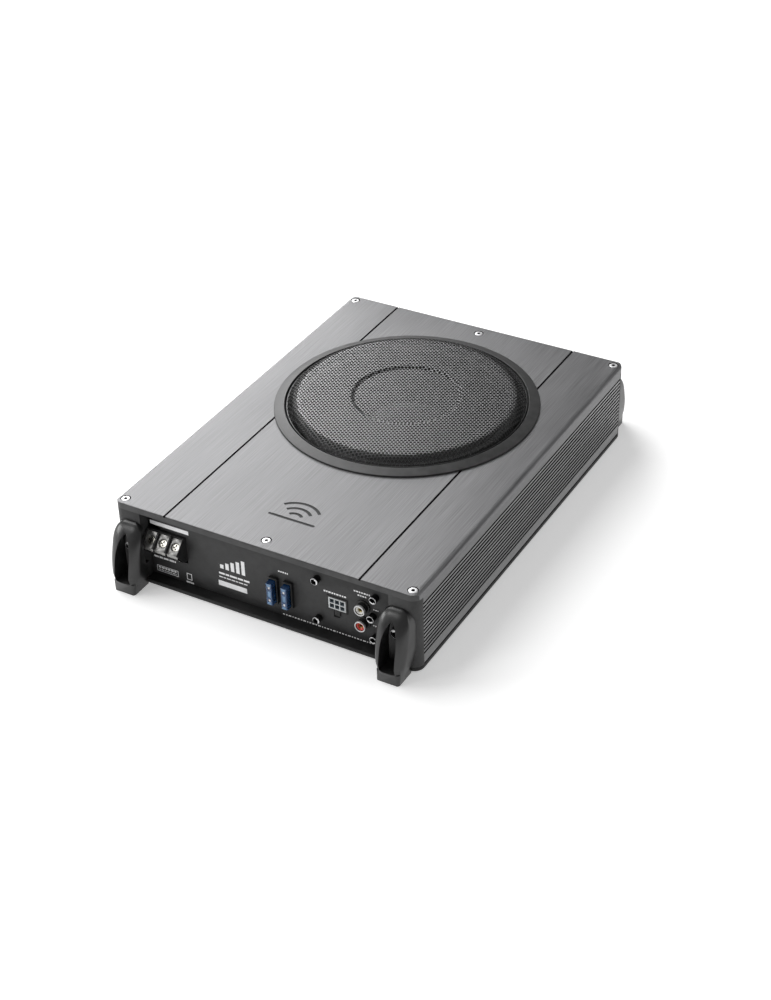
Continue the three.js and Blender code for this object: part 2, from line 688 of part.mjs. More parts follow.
// ---------------------------------------------------------------- signal sockets

// Six cells in two rows, with a pin standing in each.
function highLevelSocket() {
  const { x, z, width, height } = SPEAKER_SOCKET;
  const face = -PANEL_FACE - 0.8;
  const shell = box(-width / 2, face, -height / 2, width / 2, -148, height / 2);
  const flange = box(-width / 2 - 2, -WEB_BACK, -height / 2 - 2, width / 2 + 2, -154, height / 2 + 2);
  const cells = [];
  const pins = [];
  for (const column of [-4.2, 0, 4.2]) {
    for (const row of [-2.1, 2.1]) {
      cells.push(box(column - 1.7, face - 1, row - 1.7, column + 1.7, -152, row + 1.7));
      pins.push(box(column - 0.5, -161, row - 0.5, column + 0.5, -151, row + 0.5));
    }
  }
  return united(cut(united(shell, flange), ...cells), ...pins).translate([x, 0, z]);
}

function rcaBlock() {
  const [upper, lower] = RCA_ZS;
  const body = box(RCA_X - 6, -WEB_BACK, BOARD_TOP, RCA_X + 6, -146, upper + 7);
  let block = body;
  for (const z of [upper, lower]) {
    const boss = cylinderY(RCA_BOSS_RADIUS, -PANEL_FACE - 0.8, -WEB_BACK + 1, RCA_X, z);
    const sleeve = cylinderY(RCA_RADIUS, -168.5, -WEB_BACK + 1, RCA_X, z);
    block = united(block, boss, sleeve);
  }
  return [upper, lower].reduce((rest, z) => cut(rest, cylinderY(3.3, -170, -152, RCA_X, z)), block);
}

function rcaInsert() {
  const ring = [[1.6, 0], [3.3, 0], [3.3, 15.6], [2.9, 16.1], [1.6, 16.1]];
  return turned(ring, 18).rotate([90, 0, 0]).translate([RCA_X, -152, 0]);
}

place("high_level_socket", highLevelSocket(), whitePlastic);
place("rca_block", rcaBlock(), nickel);
place("rca_insert_white", rcaInsert(), whitePlastic).position.z = RCA_ZS[0];
place("rca_insert_red", rcaInsert(), redPlastic).position.z = RCA_ZS[1];

// ---------------------------------------------------------------- rear controls

const CONTROL_BOARD_Y = 147.6;

function knob() {
  const base = PANEL_FACE + 0.6;
  const tip = HALF_LENGTH - 0.5;
  const profile = [
    [0, 150], [2.9, 150], [2.9, base], [KNOB_RADIUS, base], [KNOB_RADIUS - 0.4, tip - 0.7],
    [KNOB_RADIUS - 1.1, tip], [0, tip],
  ];
  const pointer = box(-0.5, 1.5, tip - 0.6, 0.5, KNOB_RADIUS + 1, tip + 1);
  return cut(turned(profile, 20), pointer).rotate([-90, 0, 0]);
}

function controlBoard() {
  let board = box(-50, CONTROL_BOARD_Y - 1.6, 14, 76, CONTROL_BOARD_Y, 52);
  for (const x of [LEVEL_X, LOWPASS_X]) {
    const body = box(x - 8, CONTROL_BOARD_Y - 1, CONTROL_Z - 8, x + 8, WEB_BACK, CONTROL_Z + 8);
    const shaftWay = cylinderY(3, 149, WEB_BACK + 1, x, CONTROL_Z);
    board = united(board, body).subtract(shaftWay);
  }
  const switchBody = box(PHASE_X - 8, CONTROL_BOARD_Y - 1, CONTROL_Z - 4.5, PHASE_X + 8, WEB_BACK, CONTROL_Z + 4.5);
  const switchWay = box(PHASE_X - 4.5, 149, CONTROL_Z - 2.2, PHASE_X + 4.5, WEB_BACK + 1, CONTROL_Z + 2.2);
  return united(board, switchBody).subtract(switchWay);
}

function phaseSwitch() {
  const middle = PHASE_X - 2;
  return box(middle - 2.1, 149.2, CONTROL_Z - 2.1, middle + 2.1, PANEL_FACE + 2.4, CONTROL_Z + 2.1);
}

function remoteSocket() {
  const face = PANEL_FACE + 0.6;
  const body = box(REMOTE_X - 7.5, CONTROL_BOARD_Y, CONTROL_Z - 6.5, REMOTE_X + 7.5, face, CONTROL_Z + 6.5);
  const mouth = box(REMOTE_X - 4.9, 151, CONTROL_Z - 3.2, REMOTE_X + 4.9, face + 1, CONTROL_Z + 3.4);
  const latchWay = box(REMOTE_X - 2, 151, CONTROL_Z - 5.2, REMOTE_X + 2, face + 1, CONTROL_Z);
  return cut(body, mouth, latchWay);
}

place("level_knob", knob(), blackPlastic).position.set(LEVEL_X, 0, CONTROL_Z);
place("lowpass_knob", knob(), blackPlastic).position.set(LOWPASS_X, 0, CONTROL_Z);
place("phase_switch", phaseSwitch(), blackPlastic);
place("remote_socket", remoteSocket(), blackPlastic);
place("control_board", controlBoard(), boardGreen);

// ---------------------------------------------------------------- driver

const BASKET_TOP = LID_UNDERSIDE - 1;
const BASKET_BOTTOM = 33;
const COIL_OUTER = 20.3;
const CAP_SEAT = 48.8;

function basket() {
  const profile = [
    [99, BASKET_TOP], [99, BASKET_TOP - 3], [92, BASKET_TOP - 3], [90, 50], [59, 34.5], [57, BASKET_BOTTOM],
    [30, BASKET_BOTTOM], [30, BASKET_BOTTOM + 2], [49, BASKET_BOTTOM + 2], [49, 39.4], [58, 39.4],
    [84, 51], [88, BASKET_TOP],
  ];
  let solid = turned(profile, 28);
  for (let i = 0; i < 6; i += 1) {
    const opening = box(64, -15, 38, 86, 15, 56).rotate([0, 0, i * 60]);
    solid = cut(solid, opening);
  }
  return solid;
}

function surround() {
  const glue = BASKET_TOP + 0.8;
  const over = [];
  const under = [];
  for (let step = 1; step < 5; step += 1) {
    const angle = (step / 5) * Math.PI;
    over.push([84 + 5 * Math.cos(angle), glue + 5 * Math.sin(angle)]);
    under.push([84 + 4.4 * Math.cos(angle), BASKET_TOP + 4.8 * Math.sin(angle)]);
  }
  const outer = [[88.4, BASKET_TOP], [91, BASKET_TOP], [91, glue], [89, glue]];
  const inner = [[79, glue], [77, glue], [77, BASKET_TOP], [79.6, BASKET_TOP]];
  return turned([...outer, ...over, ...inner, ...under.reverse()], 28);
}

function cone() {
  const profile = [
    [79, BASKET_TOP], [77, BASKET_TOP], [77, BASKET_TOP - 1.2], [32, CAP_SEAT], [28.5, CAP_SEAT],
    [COIL_OUTER, 45.6], [COIL_OUTER, 44.2], [31, 47], [78.4, BASKET_TOP - 2.2],
  ];
  return turned(profile, 24);
}

function dustCap() {
  const dome = 70.5;
  const rise = 6.7;
  const over = [];
  const under = [];
  for (let step = 0; step <= 4; step += 1) {
    const angle = (step / 4) * 0.44;
    over.push([dome * Math.sin(angle), CAP_SEAT + rise - dome * (1 - Math.cos(angle))]);
    under.push([(dome - 1) * Math.sin(angle), CAP_SEAT + rise - 0.8 - (dome - 1) * (1 - Math.cos(angle))]);
  }
  over[4] = [30.2, CAP_SEAT];
  under[4] = [29.2, CAP_SEAT];
  return turned([...over, ...under.reverse()], 24);
}

function spider() {
  const glue = 39.4;
  const over = [[COIL_OUTER, glue + 0.8]];
  const under = [[COIL_OUTER, glue]];
  for (let step = 1; step < 5; step += 1) {
    const r = COIL_OUTER + step * 5.8;
    const lift = step % 2 ? 1.8 : 0.2;
    over.push([r, glue + 0.8 + lift]);
    under.push([r, glue + 0.2 + lift]);
  }
  over.push([50, glue + 0.8], [57, glue + 0.8], [57, glue]);
  under.push([50, glue]);
  return turned([...over, ...under.reverse()], 24);
}

const driver = new THREE.Group();
driver.position.y = DRIVER_Y;
subwoofer.add(driver);

function tube(inner, outer, z0, z1) {
  return turned([[inner, z0], [outer, z0], [outer, z1], [inner, z1]], 24);
}

place("driver_gasket", tube(92.5, 99, BASKET_TOP, LID_UNDERSIDE), foam, driver);
place("driver_basket", basket(), charcoalCoat, driver);
place("surround", surround(), blackRubber, driver);
place("cone", cone(), conePaper, driver);
place("dust_cap", dustCap(), conePaper, driver);
place("voice_coil", tube(19, COIL_OUTER, 28, 46), copper, driver);
place("spider", spider(), spiderCloth, driver);
place("front_pole_plate", tube(21.6, 46, 28, BASKET_BOTTOM), zincSteel, driver);
place("magnet", tube(24, 50, 14.5, 28), ferrite, driver);
place("yoke", united(cylinderZ(48, 10, 14.5, 24), cylinderZ(17.8, 14, 33, 24)), zincSteel, driver);

// ---------------------------------------------------------------- amplifier

const BOARD_UNDERSIDE = FLOOR_TOP + STANDOFF_HEIGHT;

function amplifierBoard() {
  const board = box(-92, -156, BOARD_UNDERSIDE, 92, -62, BOARD_TOP);
  const parts = [];
  for (const side of [-1, 1]) {
    for (const y of [-128, -112, -96, -80]) {
      parts.push(box(side * 86 - 2.4, y - 5, BOARD_TOP - 1, side * 86 + 2.4, y + 5, BOARD_TOP + 18));
    }
  }
  parts.push(box(-12, -80, BOARD_TOP - 1, 30, -68, BOARD_TOP + 9));
  return united(board, ...parts);
}

function toroid() {
  const profile = [[9, 2], [11, 0], [18, 0], [20, 2], [20, 14], [18, 16], [11, 16], [9, 14]];
  return turned(profile, 20).translate([-44, -108, BOARD_TOP]);
}

function capacitor() {
  const profile = [[0, 0], [11, 0], [11, 3], [10.4, 4], [11, 5], [11, 33], [10, 34], [0, 34]];
  return turned(profile, 18).translate([34, -112, BOARD_TOP]);
}

// The pair of wires from the board to the driver's basket.
function speakerLead() {
  const path = new THREE.CatmullRomCurve3([
    new THREE.Vector3(70, -70, BOARD_TOP),
    new THREE.Vector3(70, -70, 24),
    new THREE.Vector3(60, -60, 38),
    new THREE.Vector3(44, -40, 38),
    new THREE.Vector3(34, -24.5, 40),
  ]);
  const section = new THREE.Shape();
  section.absarc(0, 0, 1.4, 0, 2 * Math.PI);
  const geometry = new THREE.ExtrudeGeometry(section, { steps: 10, curveSegments: 7, extrudePath: path });
  return solidOf(geometry);
}

place("amplifier_board", amplifierBoard(), boardGreen);
place("toroid", toroid(), copper);
place("capacitor", capacitor(), blackPlastic);
place("speaker_lead", speakerLead(), blackRubber);

export default subwoofer;
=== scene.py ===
import math
import json
import bpy
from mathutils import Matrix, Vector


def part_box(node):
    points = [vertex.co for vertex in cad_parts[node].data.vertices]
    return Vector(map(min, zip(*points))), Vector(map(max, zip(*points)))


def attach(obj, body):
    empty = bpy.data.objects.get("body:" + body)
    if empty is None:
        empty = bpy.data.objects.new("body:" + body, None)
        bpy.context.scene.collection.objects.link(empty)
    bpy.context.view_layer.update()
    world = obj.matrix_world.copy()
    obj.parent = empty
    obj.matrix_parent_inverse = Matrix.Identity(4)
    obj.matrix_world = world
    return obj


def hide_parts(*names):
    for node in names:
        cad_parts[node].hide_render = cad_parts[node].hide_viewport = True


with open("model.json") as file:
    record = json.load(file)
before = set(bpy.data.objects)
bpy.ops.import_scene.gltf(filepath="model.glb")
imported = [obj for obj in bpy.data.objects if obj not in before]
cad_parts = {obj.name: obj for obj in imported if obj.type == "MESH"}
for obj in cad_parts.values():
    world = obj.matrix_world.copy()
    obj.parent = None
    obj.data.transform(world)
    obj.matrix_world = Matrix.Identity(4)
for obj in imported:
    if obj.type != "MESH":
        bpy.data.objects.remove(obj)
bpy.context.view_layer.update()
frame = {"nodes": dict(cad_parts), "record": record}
scene = bpy.context.scene

# ---- Camera
# A long lens looks down at the connector end from its right.
bpy.ops.object.camera_add(
    location=(0.6199, -1.0518, 0.8453),
    rotation=(math.radians(55.31), math.radians(1.48), math.radians(29.41)),
)
camera = bpy.context.object
camera.name = "camera"
camera.data.sensor_fit = "VERTICAL"
camera.data.sensor_height = 36
camera.data.lens = 68.9
camera.data.clip_end = 20
scene.camera = camera

# ---- Studio
# A white sweep lies under the case. One large lamp hangs over its left side, one stands beyond its far left
# corner, and weaker ones fill the right side and the connector end.
bpy.ops.mesh.primitive_plane_add(size=14, location=(0, 0, 0))
floor = bpy.context.object
floor.name = "studio_floor"
floor_paint = bpy.data.materials.new("floor_paint")
floor_paint.use_nodes = True
floor_shader = floor_paint.node_tree.nodes["Principled BSDF"]
floor_shader.inputs["Base Color"].default_value = (0.93, 0.93, 0.93, 1)
floor_shader.inputs["Roughness"].default_value = 0.9
floor_shader.inputs["Specular IOR Level"].default_value = 0.1
floor_shader.inputs["Emission Color"].default_value = (1, 1, 1, 1)
floor_shader.inputs["Emission Strength"].default_value = 0.34
floor.data.materials.append(floor_paint)

studio_air = bpy.data.worlds.new("studio_air")
scene.world = studio_air
studio_air.use_nodes = True
studio_air.node_tree.nodes["Background"].inputs["Color"].default_value = (1, 1, 1, 1)
studio_air.node_tree.nodes["Background"].inputs["Strength"].default_value = 0.28
scene.view_settings.view_transform = "Standard"


def hang_lamp(name, place, target, width, height, power):
    bpy.ops.object.light_add(type="AREA", location=place)
    lamp = bpy.context.object
    lamp.name = name
    lamp.data.shape = "RECTANGLE"
    lamp.data.size = width
    lamp.data.size_y = height
    lamp.data.energy = power
    aim = [t - p for t, p in zip(target, place)]
    flat = math.hypot(aim[0], aim[1])
    lamp.rotation_euler = (math.atan2(flat, -aim[2]), 0, math.atan2(aim[1], aim[0]) - math.pi / 2)


hang_lamp("overhead_lamp", (-1.1, 0.2, 1.7), (0, 0, 0), 1.3, 1.3, 23)
hang_lamp("far_lamp", (-1.5, 1.5, 1.2), (0, 0, 0), 1.1, 1.1, 22)
hang_lamp("left_lamp", (-1.8, -1.1, 0.7), (0, 0, 0.03), 0.7, 0.7, 15)
hang_lamp("glint_lamp", (-1.0, -1.45, 1.5), (-0.08, -0.17, 0.04), 0.5, 0.5, 5)
hang_lamp("side_lamp", (1.9, 0.3, 0.6), (0.1, 0, 0.03), 0.9, 0.9, 7)

# ---- Lid
# The lid is 5 mm aluminium plate, folded down over both sides and brushed along its length. Two fine grooves
# run its full length and an emblem of three arcs is milled in front of the driver. Its edge is left unbrushed.
LID_LOW, LID_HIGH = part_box("top_plate")
LID_TOP = LID_HIGH[2]
LID_THICKNESS = 0.005
LID_UNDERSIDE = LID_TOP - LID_THICKNESS
HALF_WIDTH = LID_HIGH[0]
HALF_LENGTH = LID_HIGH[1]
CASE_CORNER = 0.008
INNER_HALF_WIDTH = 0.122
END_WALL_Y = 0.1634
FOLD_RADIUS = 0.004
EDGE_RADIUS = 0.001
SPEAKER_HOLE_RADIUS = 0.092
COUNTERBORE_RADIUS = 0.0039
SCREW_HOLE_RADIUS = 0.0017
SPEAKER_Y = (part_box("trim_ring")[0][1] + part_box("trim_ring")[1][1]) / 2
GROOVE_X = 0.0802
GROOVE_HALF_WIDTH = 0.00085
GROOVE_DEPTH = 0.001
EMBLEM_X = 0.0025
EMBLEM_Y = -0.132
EMBLEM_DEPTH = 0.0003
EMBLEM_STROKE = 0.0024
EMBLEM_BAR_HALF_LENGTH = 0.018
EMBLEM_BAR_RADIUS = 0.0012
BEYOND = 0.2
SAME_PLACE = 1e-6


def deselect():
    if bpy.context.object and bpy.context.object.mode != "OBJECT":
        bpy.ops.object.mode_set(mode="OBJECT")
    bpy.ops.object.select_all(action="DESELECT")


def only(piece):
    deselect()
    piece.select_set(True)
    bpy.context.view_layer.objects.active = piece


def settle(piece):
    only(piece)
    bpy.ops.object.transform_apply(location=True, rotation=True, scale=True)


def block(name, low, high):
    deselect()
    middle = [(a + b) / 2 for a, b in zip(low, high)]
    bpy.ops.mesh.primitive_cube_add(size=1, location=middle)
    piece = bpy.context.object
    piece.name = name
    piece.scale = [b - a for a, b in zip(low, high)]
    settle(piece)
    return piece


def rod(name, radius, middle, depth, axis="Z", vertices=48):
    deselect()
    turn = {"X": (0, math.pi / 2, 0), "Y": (math.pi / 2, 0, 0), "Z": (0, 0, 0)}[axis]
    bpy.ops.mesh.primitive_cylinder_add(
        vertices=vertices, radius=radius, depth=depth, location=middle, rotation=turn
    )
    piece = bpy.context.object
    piece.name = name
    settle(piece)
    return piece


def slab(name, outline, low, high, axis="Z"):
    deselect()
    bpy.ops.curve.primitive_bezier_curve_add()
    curve = bpy.context.object
    curve.data.resolution_u = 1
    spline = curve.data.splines[0]
    spline.bezier_points.add(len(outline) - len(spline.bezier_points))
    spline.use_cyclic_u = True
    for point, (a, b) in zip(spline.bezier_points, outline):
        point.co = {"X": (low, a, b), "Y": (a, low, b), "Z": (a, b, low)}[axis]
        point.handle_left_type = "VECTOR"
        point.handle_right_type = "VECTOR"
    only(curve)
    bpy.ops.object.convert(target="MESH")
    piece = bpy.context.object
    piece.name = name
    bpy.ops.object.mode_set(mode="EDIT")
    bpy.ops.mesh.select_mode(type="VERT")
    bpy.ops.mesh.select_all(action="SELECT")
    bpy.ops.mesh.remove_doubles(threshold=0.000001)
    bpy.ops.mesh.edge_face_add()
    bpy.ops.mesh.extrude_region()
    bpy.ops.transform.translate(value=[(high - low) * (letter == axis) for letter in "XYZ"])
    bpy.ops.mesh.select_all(action="SELECT")
    bpy.ops.mesh.normals_make_consistent(inside=False)
    bpy.ops.object.mode_set(mode="OBJECT")
    settle(piece)
    return piece


def arc(x, y, radius, start, end, steps):
    return [
        (x + radius * math.cos(math.radians(start + (end - start) * i / steps)),
         y + radius * math.sin(math.radians(start + (end - start) * i / steps)))
        for i in range(steps + 1)
    ]


def apply_modifier(piece, kind, **settings):
    only(piece)
    modifier = piece.modifiers.new(kind.lower(), kind)
    for key, value in settings.items():
        setattr(modifier, key, value)
    bpy.ops.object.modifier_apply(modifier=modifier.name)


def trim(piece, tool, operation="DIFFERENCE"):
    apply_modifier(piece, "BOOLEAN", object=tool, operation=operation, solver="EXACT")
    bpy.data.objects.remove(tool)


def pick_edges(piece, wanted):
    only(piece)
    bpy.ops.object.mode_set(mode="EDIT")
    bpy.ops.mesh.select_mode(type="EDGE")
    bpy.ops.mesh.select_all(action="DESELECT")
    bpy.ops.object.mode_set(mode="OBJECT")
    points = piece.data.vertices
    for edge in piece.data.edges:
        a, b = (points[i].co for i in edge.vertices)
        edge.select = wanted(a, b)
    bpy.ops.object.mode_set(mode="EDIT")


def pick_faces(piece, wanted):
    only(piece)
    bpy.ops.object.mode_set(mode="EDIT")
    bpy.ops.mesh.select_mode(type="FACE")
    bpy.ops.mesh.select_all(action="DESELECT")
    bpy.ops.object.mode_set(mode="OBJECT")
    for face in piece.data.polygons:
        face.select = wanted(face.center, face.normal)
    bpy.ops.object.mode_set(mode="EDIT")


def round_edges(piece, wanted, radius, segments):
    pick_edges(piece, wanted)
    bpy.ops.mesh.bevel(offset=radius, segments=segments, affect="EDGES")
    bpy.ops.object.mode_set(mode="OBJECT")


def smooth(piece, degrees=35):
    only(piece)
    bpy.ops.object.shade_smooth_by_angle(angle=math.radians(degrees))


def finish_faces(piece, finish, wanted):
    piece.data.materials.append(finish)
    pick_faces(piece, wanted)
    piece.active_material_index = len(piece.data.materials) - 1
    bpy.ops.object.material_slot_assign()
    bpy.ops.object.mode_set(mode="OBJECT")


def upright(a, b):
    return abs(a.x - b.x) < SAME_PLACE and abs(a.y - b.y) < SAME_PLACE


def fit(piece, body, slot, *replaced):
    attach(piece, body)
    if replaced:
        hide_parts(*replaced)


def noise(finish, stretch, scale, detail):
    nodes = finish.node_tree.nodes
    links = finish.node_tree.links
    place = nodes.new("ShaderNodeTexCoord")
    mapping = nodes.new("ShaderNodeMapping")
    mapping.inputs["Scale"].default_value = stretch
    grain = nodes.new("ShaderNodeTexNoise")
    grain.inputs["Scale"].default_value = scale
    grain.inputs["Detail"].default_value = detail
    links.new(place.outputs["Object"], mapping.inputs["Vector"])
    links.new(mapping.outputs["Vector"], grain.inputs["Vector"])
    return grain.outputs["Fac"]


def ramp(finish, fac, low, high, dark, light):
    colours = finish.node_tree.nodes.new("ShaderNodeValToRGB")
    colours.color_ramp.elements[0].position = low
    colours.color_ramp.elements[0].color = (*dark, 1)
    colours.color_ramp.elements[1].position = high
    colours.color_ramp.elements[1].color = (*light, 1)
    finish.node_tree.links.new(fac, colours.inputs["Fac"])
    return colours.outputs["Color"]


def spread(finish, fac, low, high):
    span = finish.node_tree.nodes.new("ShaderNodeMapRange")
    span.inputs["From Min"].default_value = 0.3
    span.inputs["From Max"].default_value = 0.7
    span.inputs["To Min"].default_value = low
    span.inputs["To Max"].default_value = high
    finish.node_tree.links.new(fac, span.inputs["Value"])
    return span.outputs["Result"]


def relief(finish, height, depth, strength=0.5):
    bump = finish.node_tree.nodes.new("ShaderNodeBump")
    bump.inputs["Distance"].default_value = depth
    bump.inputs["Strength"].default_value = strength
    finish.node_tree.links.new(height, bump.inputs["Height"])
    return bump.outputs["Normal"]


def new_finish(name, metallic, gloss=0.5):
    finish = bpy.data.materials.new(name)
    finish.use_nodes = True
    shader = finish.node_tree.nodes["Principled BSDF"]
    shader.inputs["Metallic"].default_value = metallic
    shader.inputs["Specular IOR Level"].default_value = gloss
    return finish


def wire_up(finish, **sockets):
    shader = finish.node_tree.nodes["Principled BSDF"]
    for key, value in sockets.items():
        finish.node_tree.links.new(value, shader.inputs[key.replace("_", " ")])


def coat(name, dark, light, rough, metallic=0.0, scale=900.0, depth=0.00002, stretch=(1, 1, 1), gloss=0.5):
    finish = new_finish(name, metallic, gloss)
    broad = noise(finish, stretch, scale / 14, 5)
    fine = noise(finish, stretch, scale, 3)
    wire_up(
        finish,
        Base_Color=ramp(finish, broad, 0.35, 0.65, dark, light),
        Roughness=spread(finish, broad, rough[0], rough[1]),
        Normal=relief(finish, fine, depth),
    )
    return finish


def grey(level):
    return (level, level, level * 1.01)


def brushed_lid_finish():
    finish = new_finish("brushed_anodised", 0.8)
    streaks = noise(finish, (1, 0.012, 1), 1700, 6)
    drift = noise(finish, (1, 0.25, 1), 24, 4)
    tone = finish.node_tree.nodes.new("ShaderNodeMix")
    tone.data_type = "RGBA"
    tone.blend_type = "MULTIPLY"
    tone.inputs["Factor"].default_value = 1
    links = finish.node_tree.links
    links.new(ramp(finish, streaks, 0.25, 0.75, grey(0.14), grey(0.26)), tone.inputs["A"])
    links.new(ramp(finish, drift, 0.3, 0.7, grey(0.88), grey(0.99)), tone.inputs["B"])
    wire_up(
        finish,
        Base_Color=tone.outputs["Result"],
        Roughness=spread(finish, streaks, 0.4, 0.54),
        Normal=relief(finish, streaks, 0.00006, 0.3),
    )
    return finish


def crowned_gauge(name, low, high, along, radius):
    gauge = block(name, low, high)
    round_edges(
        gauge,
        lambda a, b: min(a.z, b.z) > high[2] - SAME_PLACE and abs(getattr(a - b, along)) > 1e-4,
        radius,
        6,
    )
    return gauge


lid = block("lid", LID_LOW, LID_HIGH)
round_edges(lid, upright, CASE_CORNER, 10)
trim(lid, block("space", (-INNER_HALF_WIDTH, -BEYOND, 0), (INNER_HALF_WIDTH, BEYOND, LID_UNDERSIDE)))
for end in (-1, 1):
    near, far = sorted((end * END_WALL_Y, end * BEYOND))
    trim(lid, block("space", (-BEYOND, near, 0), (BEYOND, far, LID_UNDERSIDE)))
fold = crowned_gauge("fold", (-HALF_WIDTH, -BEYOND, 0), (HALF_WIDTH, BEYOND, LID_TOP), "y", FOLD_RADIUS)
trim(lid, fold, "INTERSECT")
edge = crowned_gauge("edge", (-BEYOND, -HALF_LENGTH, 0), (BEYOND, HALF_LENGTH, LID_TOP), "x", EDGE_RADIUS)
trim(lid, edge, "INTERSECT")
trim(lid, rod("space", SPEAKER_HOLE_RADIUS, (0, SPEAKER_Y, LID_TOP), 0.04, vertices=128))
for side in (-GROOVE_X, GROOVE_X):
    low = (side - GROOVE_HALF_WIDTH, -BEYOND, LID_TOP - GROOVE_DEPTH)
    trim(lid, block("space", low, (side + GROOVE_HALF_WIDTH, BEYOND, LID_TOP + 0.01)))
LID_SCREW_PLACES = [
    ((low[0] + high[0]) / 2, (low[1] + high[1]) / 2)
    for low, high in (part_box(f"lid_screw_{i}") for i in range(1, 7))
]
for x, y in LID_SCREW_PLACES:
    trim(lid, rod("space", COUNTERBORE_RADIUS, (x, y, LID_TOP + 0.002), 0.01))
    trim(lid, rod("space", SCREW_HOLE_RADIUS, (x, y, LID_TOP), 0.03, vertices=24))
for radius in (0.008, 0.0145, 0.021):
    wave = arc(EMBLEM_X, EMBLEM_Y, radius, 42, 138, 20)
    wave += arc(EMBLEM_X, EMBLEM_Y, radius - EMBLEM_STROKE, 138, 42, 20)
    trim(lid, slab("space", wave, LID_TOP - EMBLEM_DEPTH, LID_TOP + 0.01))
bar = arc(EMBLEM_X + EMBLEM_BAR_HALF_LENGTH, EMBLEM_Y - 0.001, EMBLEM_BAR_RADIUS, -90, 90, 8)
bar += arc(EMBLEM_X - EMBLEM_BAR_HALF_LENGTH, EMBLEM_Y - 0.001, EMBLEM_BAR_RADIUS, 90, 270, 8)
trim(lid, slab("space", bar, LID_TOP - EMBLEM_DEPTH, LID_TOP + 0.01))
smooth(lid)
lid.data.materials.append(brushed_lid_finish())
edge_finish = coat("machined_edge", grey(0.05), grey(0.07), (0.45, 0.55), 0.3, 1500, 0.00002, gloss=0.3)
finish_faces(lid, edge_finish, lambda centre, normal: abs(normal.y) > 0.5 and abs(centre.y) > 0.16)
# Painted shade: the two grooves are painted black where shade falls in them; the same black is used as painted shade
# in counterbores, sockets, slots and fin grooves.
painted_shade_black = coat("painted_shade_black", grey(0.004), grey(0.008), (0.7, 0.8), 0, 1500, 0.00001, gloss=0.1)
finish_faces(
    lid,
    painted_shade_black,
    lambda centre, normal: LID_TOP - 0.0011 < centre.z < LID_TOP - 0.0001
    and abs(abs(centre.x) - GROOVE_X) < 0.001,
)
emblem_black = coat("emblem_black", grey(0.02), grey(0.03), (0.5, 0.6), 0.3, 1500, 0.00001, gloss=0.3)
finish_faces(
    lid,
    emblem_black,
    lambda centre, normal: LID_TOP - 0.0004 < centre.z < LID_TOP - 0.0001
    and abs(centre.x - EMBLEM_X) < 0.03 and abs(centre.y - EMBLEM_Y) < 0.03,
)
# Painted shade: the counterbore walls and floors round the lid screws are painted black.
finish_faces(
    lid,
    painted_shade_black,
    lambda centre, normal: any(math.hypot(centre.x - x, centre.y - y) < 0.004 for x, y in LID_SCREW_PLACES)
    and centre.z < LID_TOP - 0.0001,
)
fit(lid, "case", "lid", "top_plate")

# ---- Lid screws
# Six cap screws with a hexagon socket hold the lid. They are bright plated and sit in flat counterbores.
# Bright plating; on the faces of blackened screws the same finish is a painted highlight.
bright_plate_and_highlight = coat("bright_plate_and_highlight", grey(0.7), grey(0.8), (0.3, 0.4), 0.55, 1500, 0.00001)
black_oxide = coat("black_oxide", grey(0.012), grey(0.02), (0.32, 0.42), 0.5, 1500, 0.00001)


def cap_screw(name, face, outward, radius, depth, key, sides_finish):
    axis = "XYZ"[[abs(part) > 0.5 for part in outward].index(True)]
    middle = [f - o * depth / 2 for f, o in zip(face, outward)]
    screw = rod(name, radius, middle, depth, axis, 48)
    level = sum(f * o for f, o in zip(face, outward))

    def outer_face(point):
        return abs(sum(p * o for p, o in zip(point, outward)) - level) < SAME_PLACE

    round_edges(screw, lambda a, b: outer_face(a) and outer_face(b), radius * 0.14, 3)
    trim(screw, rod("socket", key, face, depth * 1.3, axis, 6))
    smooth(screw, 30)
    screw.data.materials.append(sides_finish)
    # The outer face gets the bright finish: real plating on the lid screws, a painted highlight on blackened screws.
    finish_faces(
        screw,
        bright_plate_and_highlight,
        lambda centre, normal: sum(c * o for c, o in zip(centre, outward)) > level - radius * 0.16
        and sum(n * o for n, o in zip(normal, outward)) > 0.3,
    )

    def off_axis(centre):
        depth_below = level - sum(c * o for c, o in zip(centre, outward))
        return math.dist(centre, [f - depth_below * o for f, o in zip(face, outward)])

    # Painted shade: the hexagon socket is painted black.
    finish_faces(screw, painted_shade_black, lambda centre, normal: off_axis(centre) < key * 0.9)
    return screw


for number, (x, y) in enumerate(LID_SCREW_PLACES, 1):
    bolt = cap_screw(f"lid_bolt_{number}", (x, y, LID_TOP - 0.0001), (0, 0, 1), 0.0033, 0.0028, 0.0015, bright_plate_and_highlight)
    shank = rod("shank", 0.0014, (x, y, LID_TOP - 0.0055), 0.006, "Z", 16)
    trim(bolt, shank, "UNION")
    fit(bolt, "case", "bright_screw", f"lid_screw_{number}")

# ---- Side extrusions
# Each side is one extruded length of aluminium with a stack of deep cooling fins. The edges are eased by the
# die and the faces have fine draw lines along the length. The grooves between the fins are painted black as shade.
# Small black cap screws hold it from outside.


def eased_copy(node, name, radius, segments=2):
    deselect()
    piece = frame["nodes"][node].copy()
    piece.data = piece.data.copy()
    piece.name = name
    for key in list(piece.keys()):
        del piece[key]
    bpy.context.collection.objects.link(piece)
    piece.parent = None
    only(piece)
    piece.data.materials.clear()
    bpy.ops.object.mode_set(mode="EDIT")
    bpy.ops.mesh.select_all(action="SELECT")
    bpy.ops.mesh.remove_doubles(threshold=0.000002)
    bpy.ops.mesh.dissolve_limited(angle_limit=math.radians(2))
    bpy.ops.object.mode_set(mode="OBJECT")
    apply_modifier(
        piece, "BEVEL", width=radius, segments=segments, limit_method="ANGLE", angle_limit=math.radians(40)
    )
    apply_modifier(piece, "TRIANGULATE", min_vertices=5)
    smooth(piece, 40)
    return piece


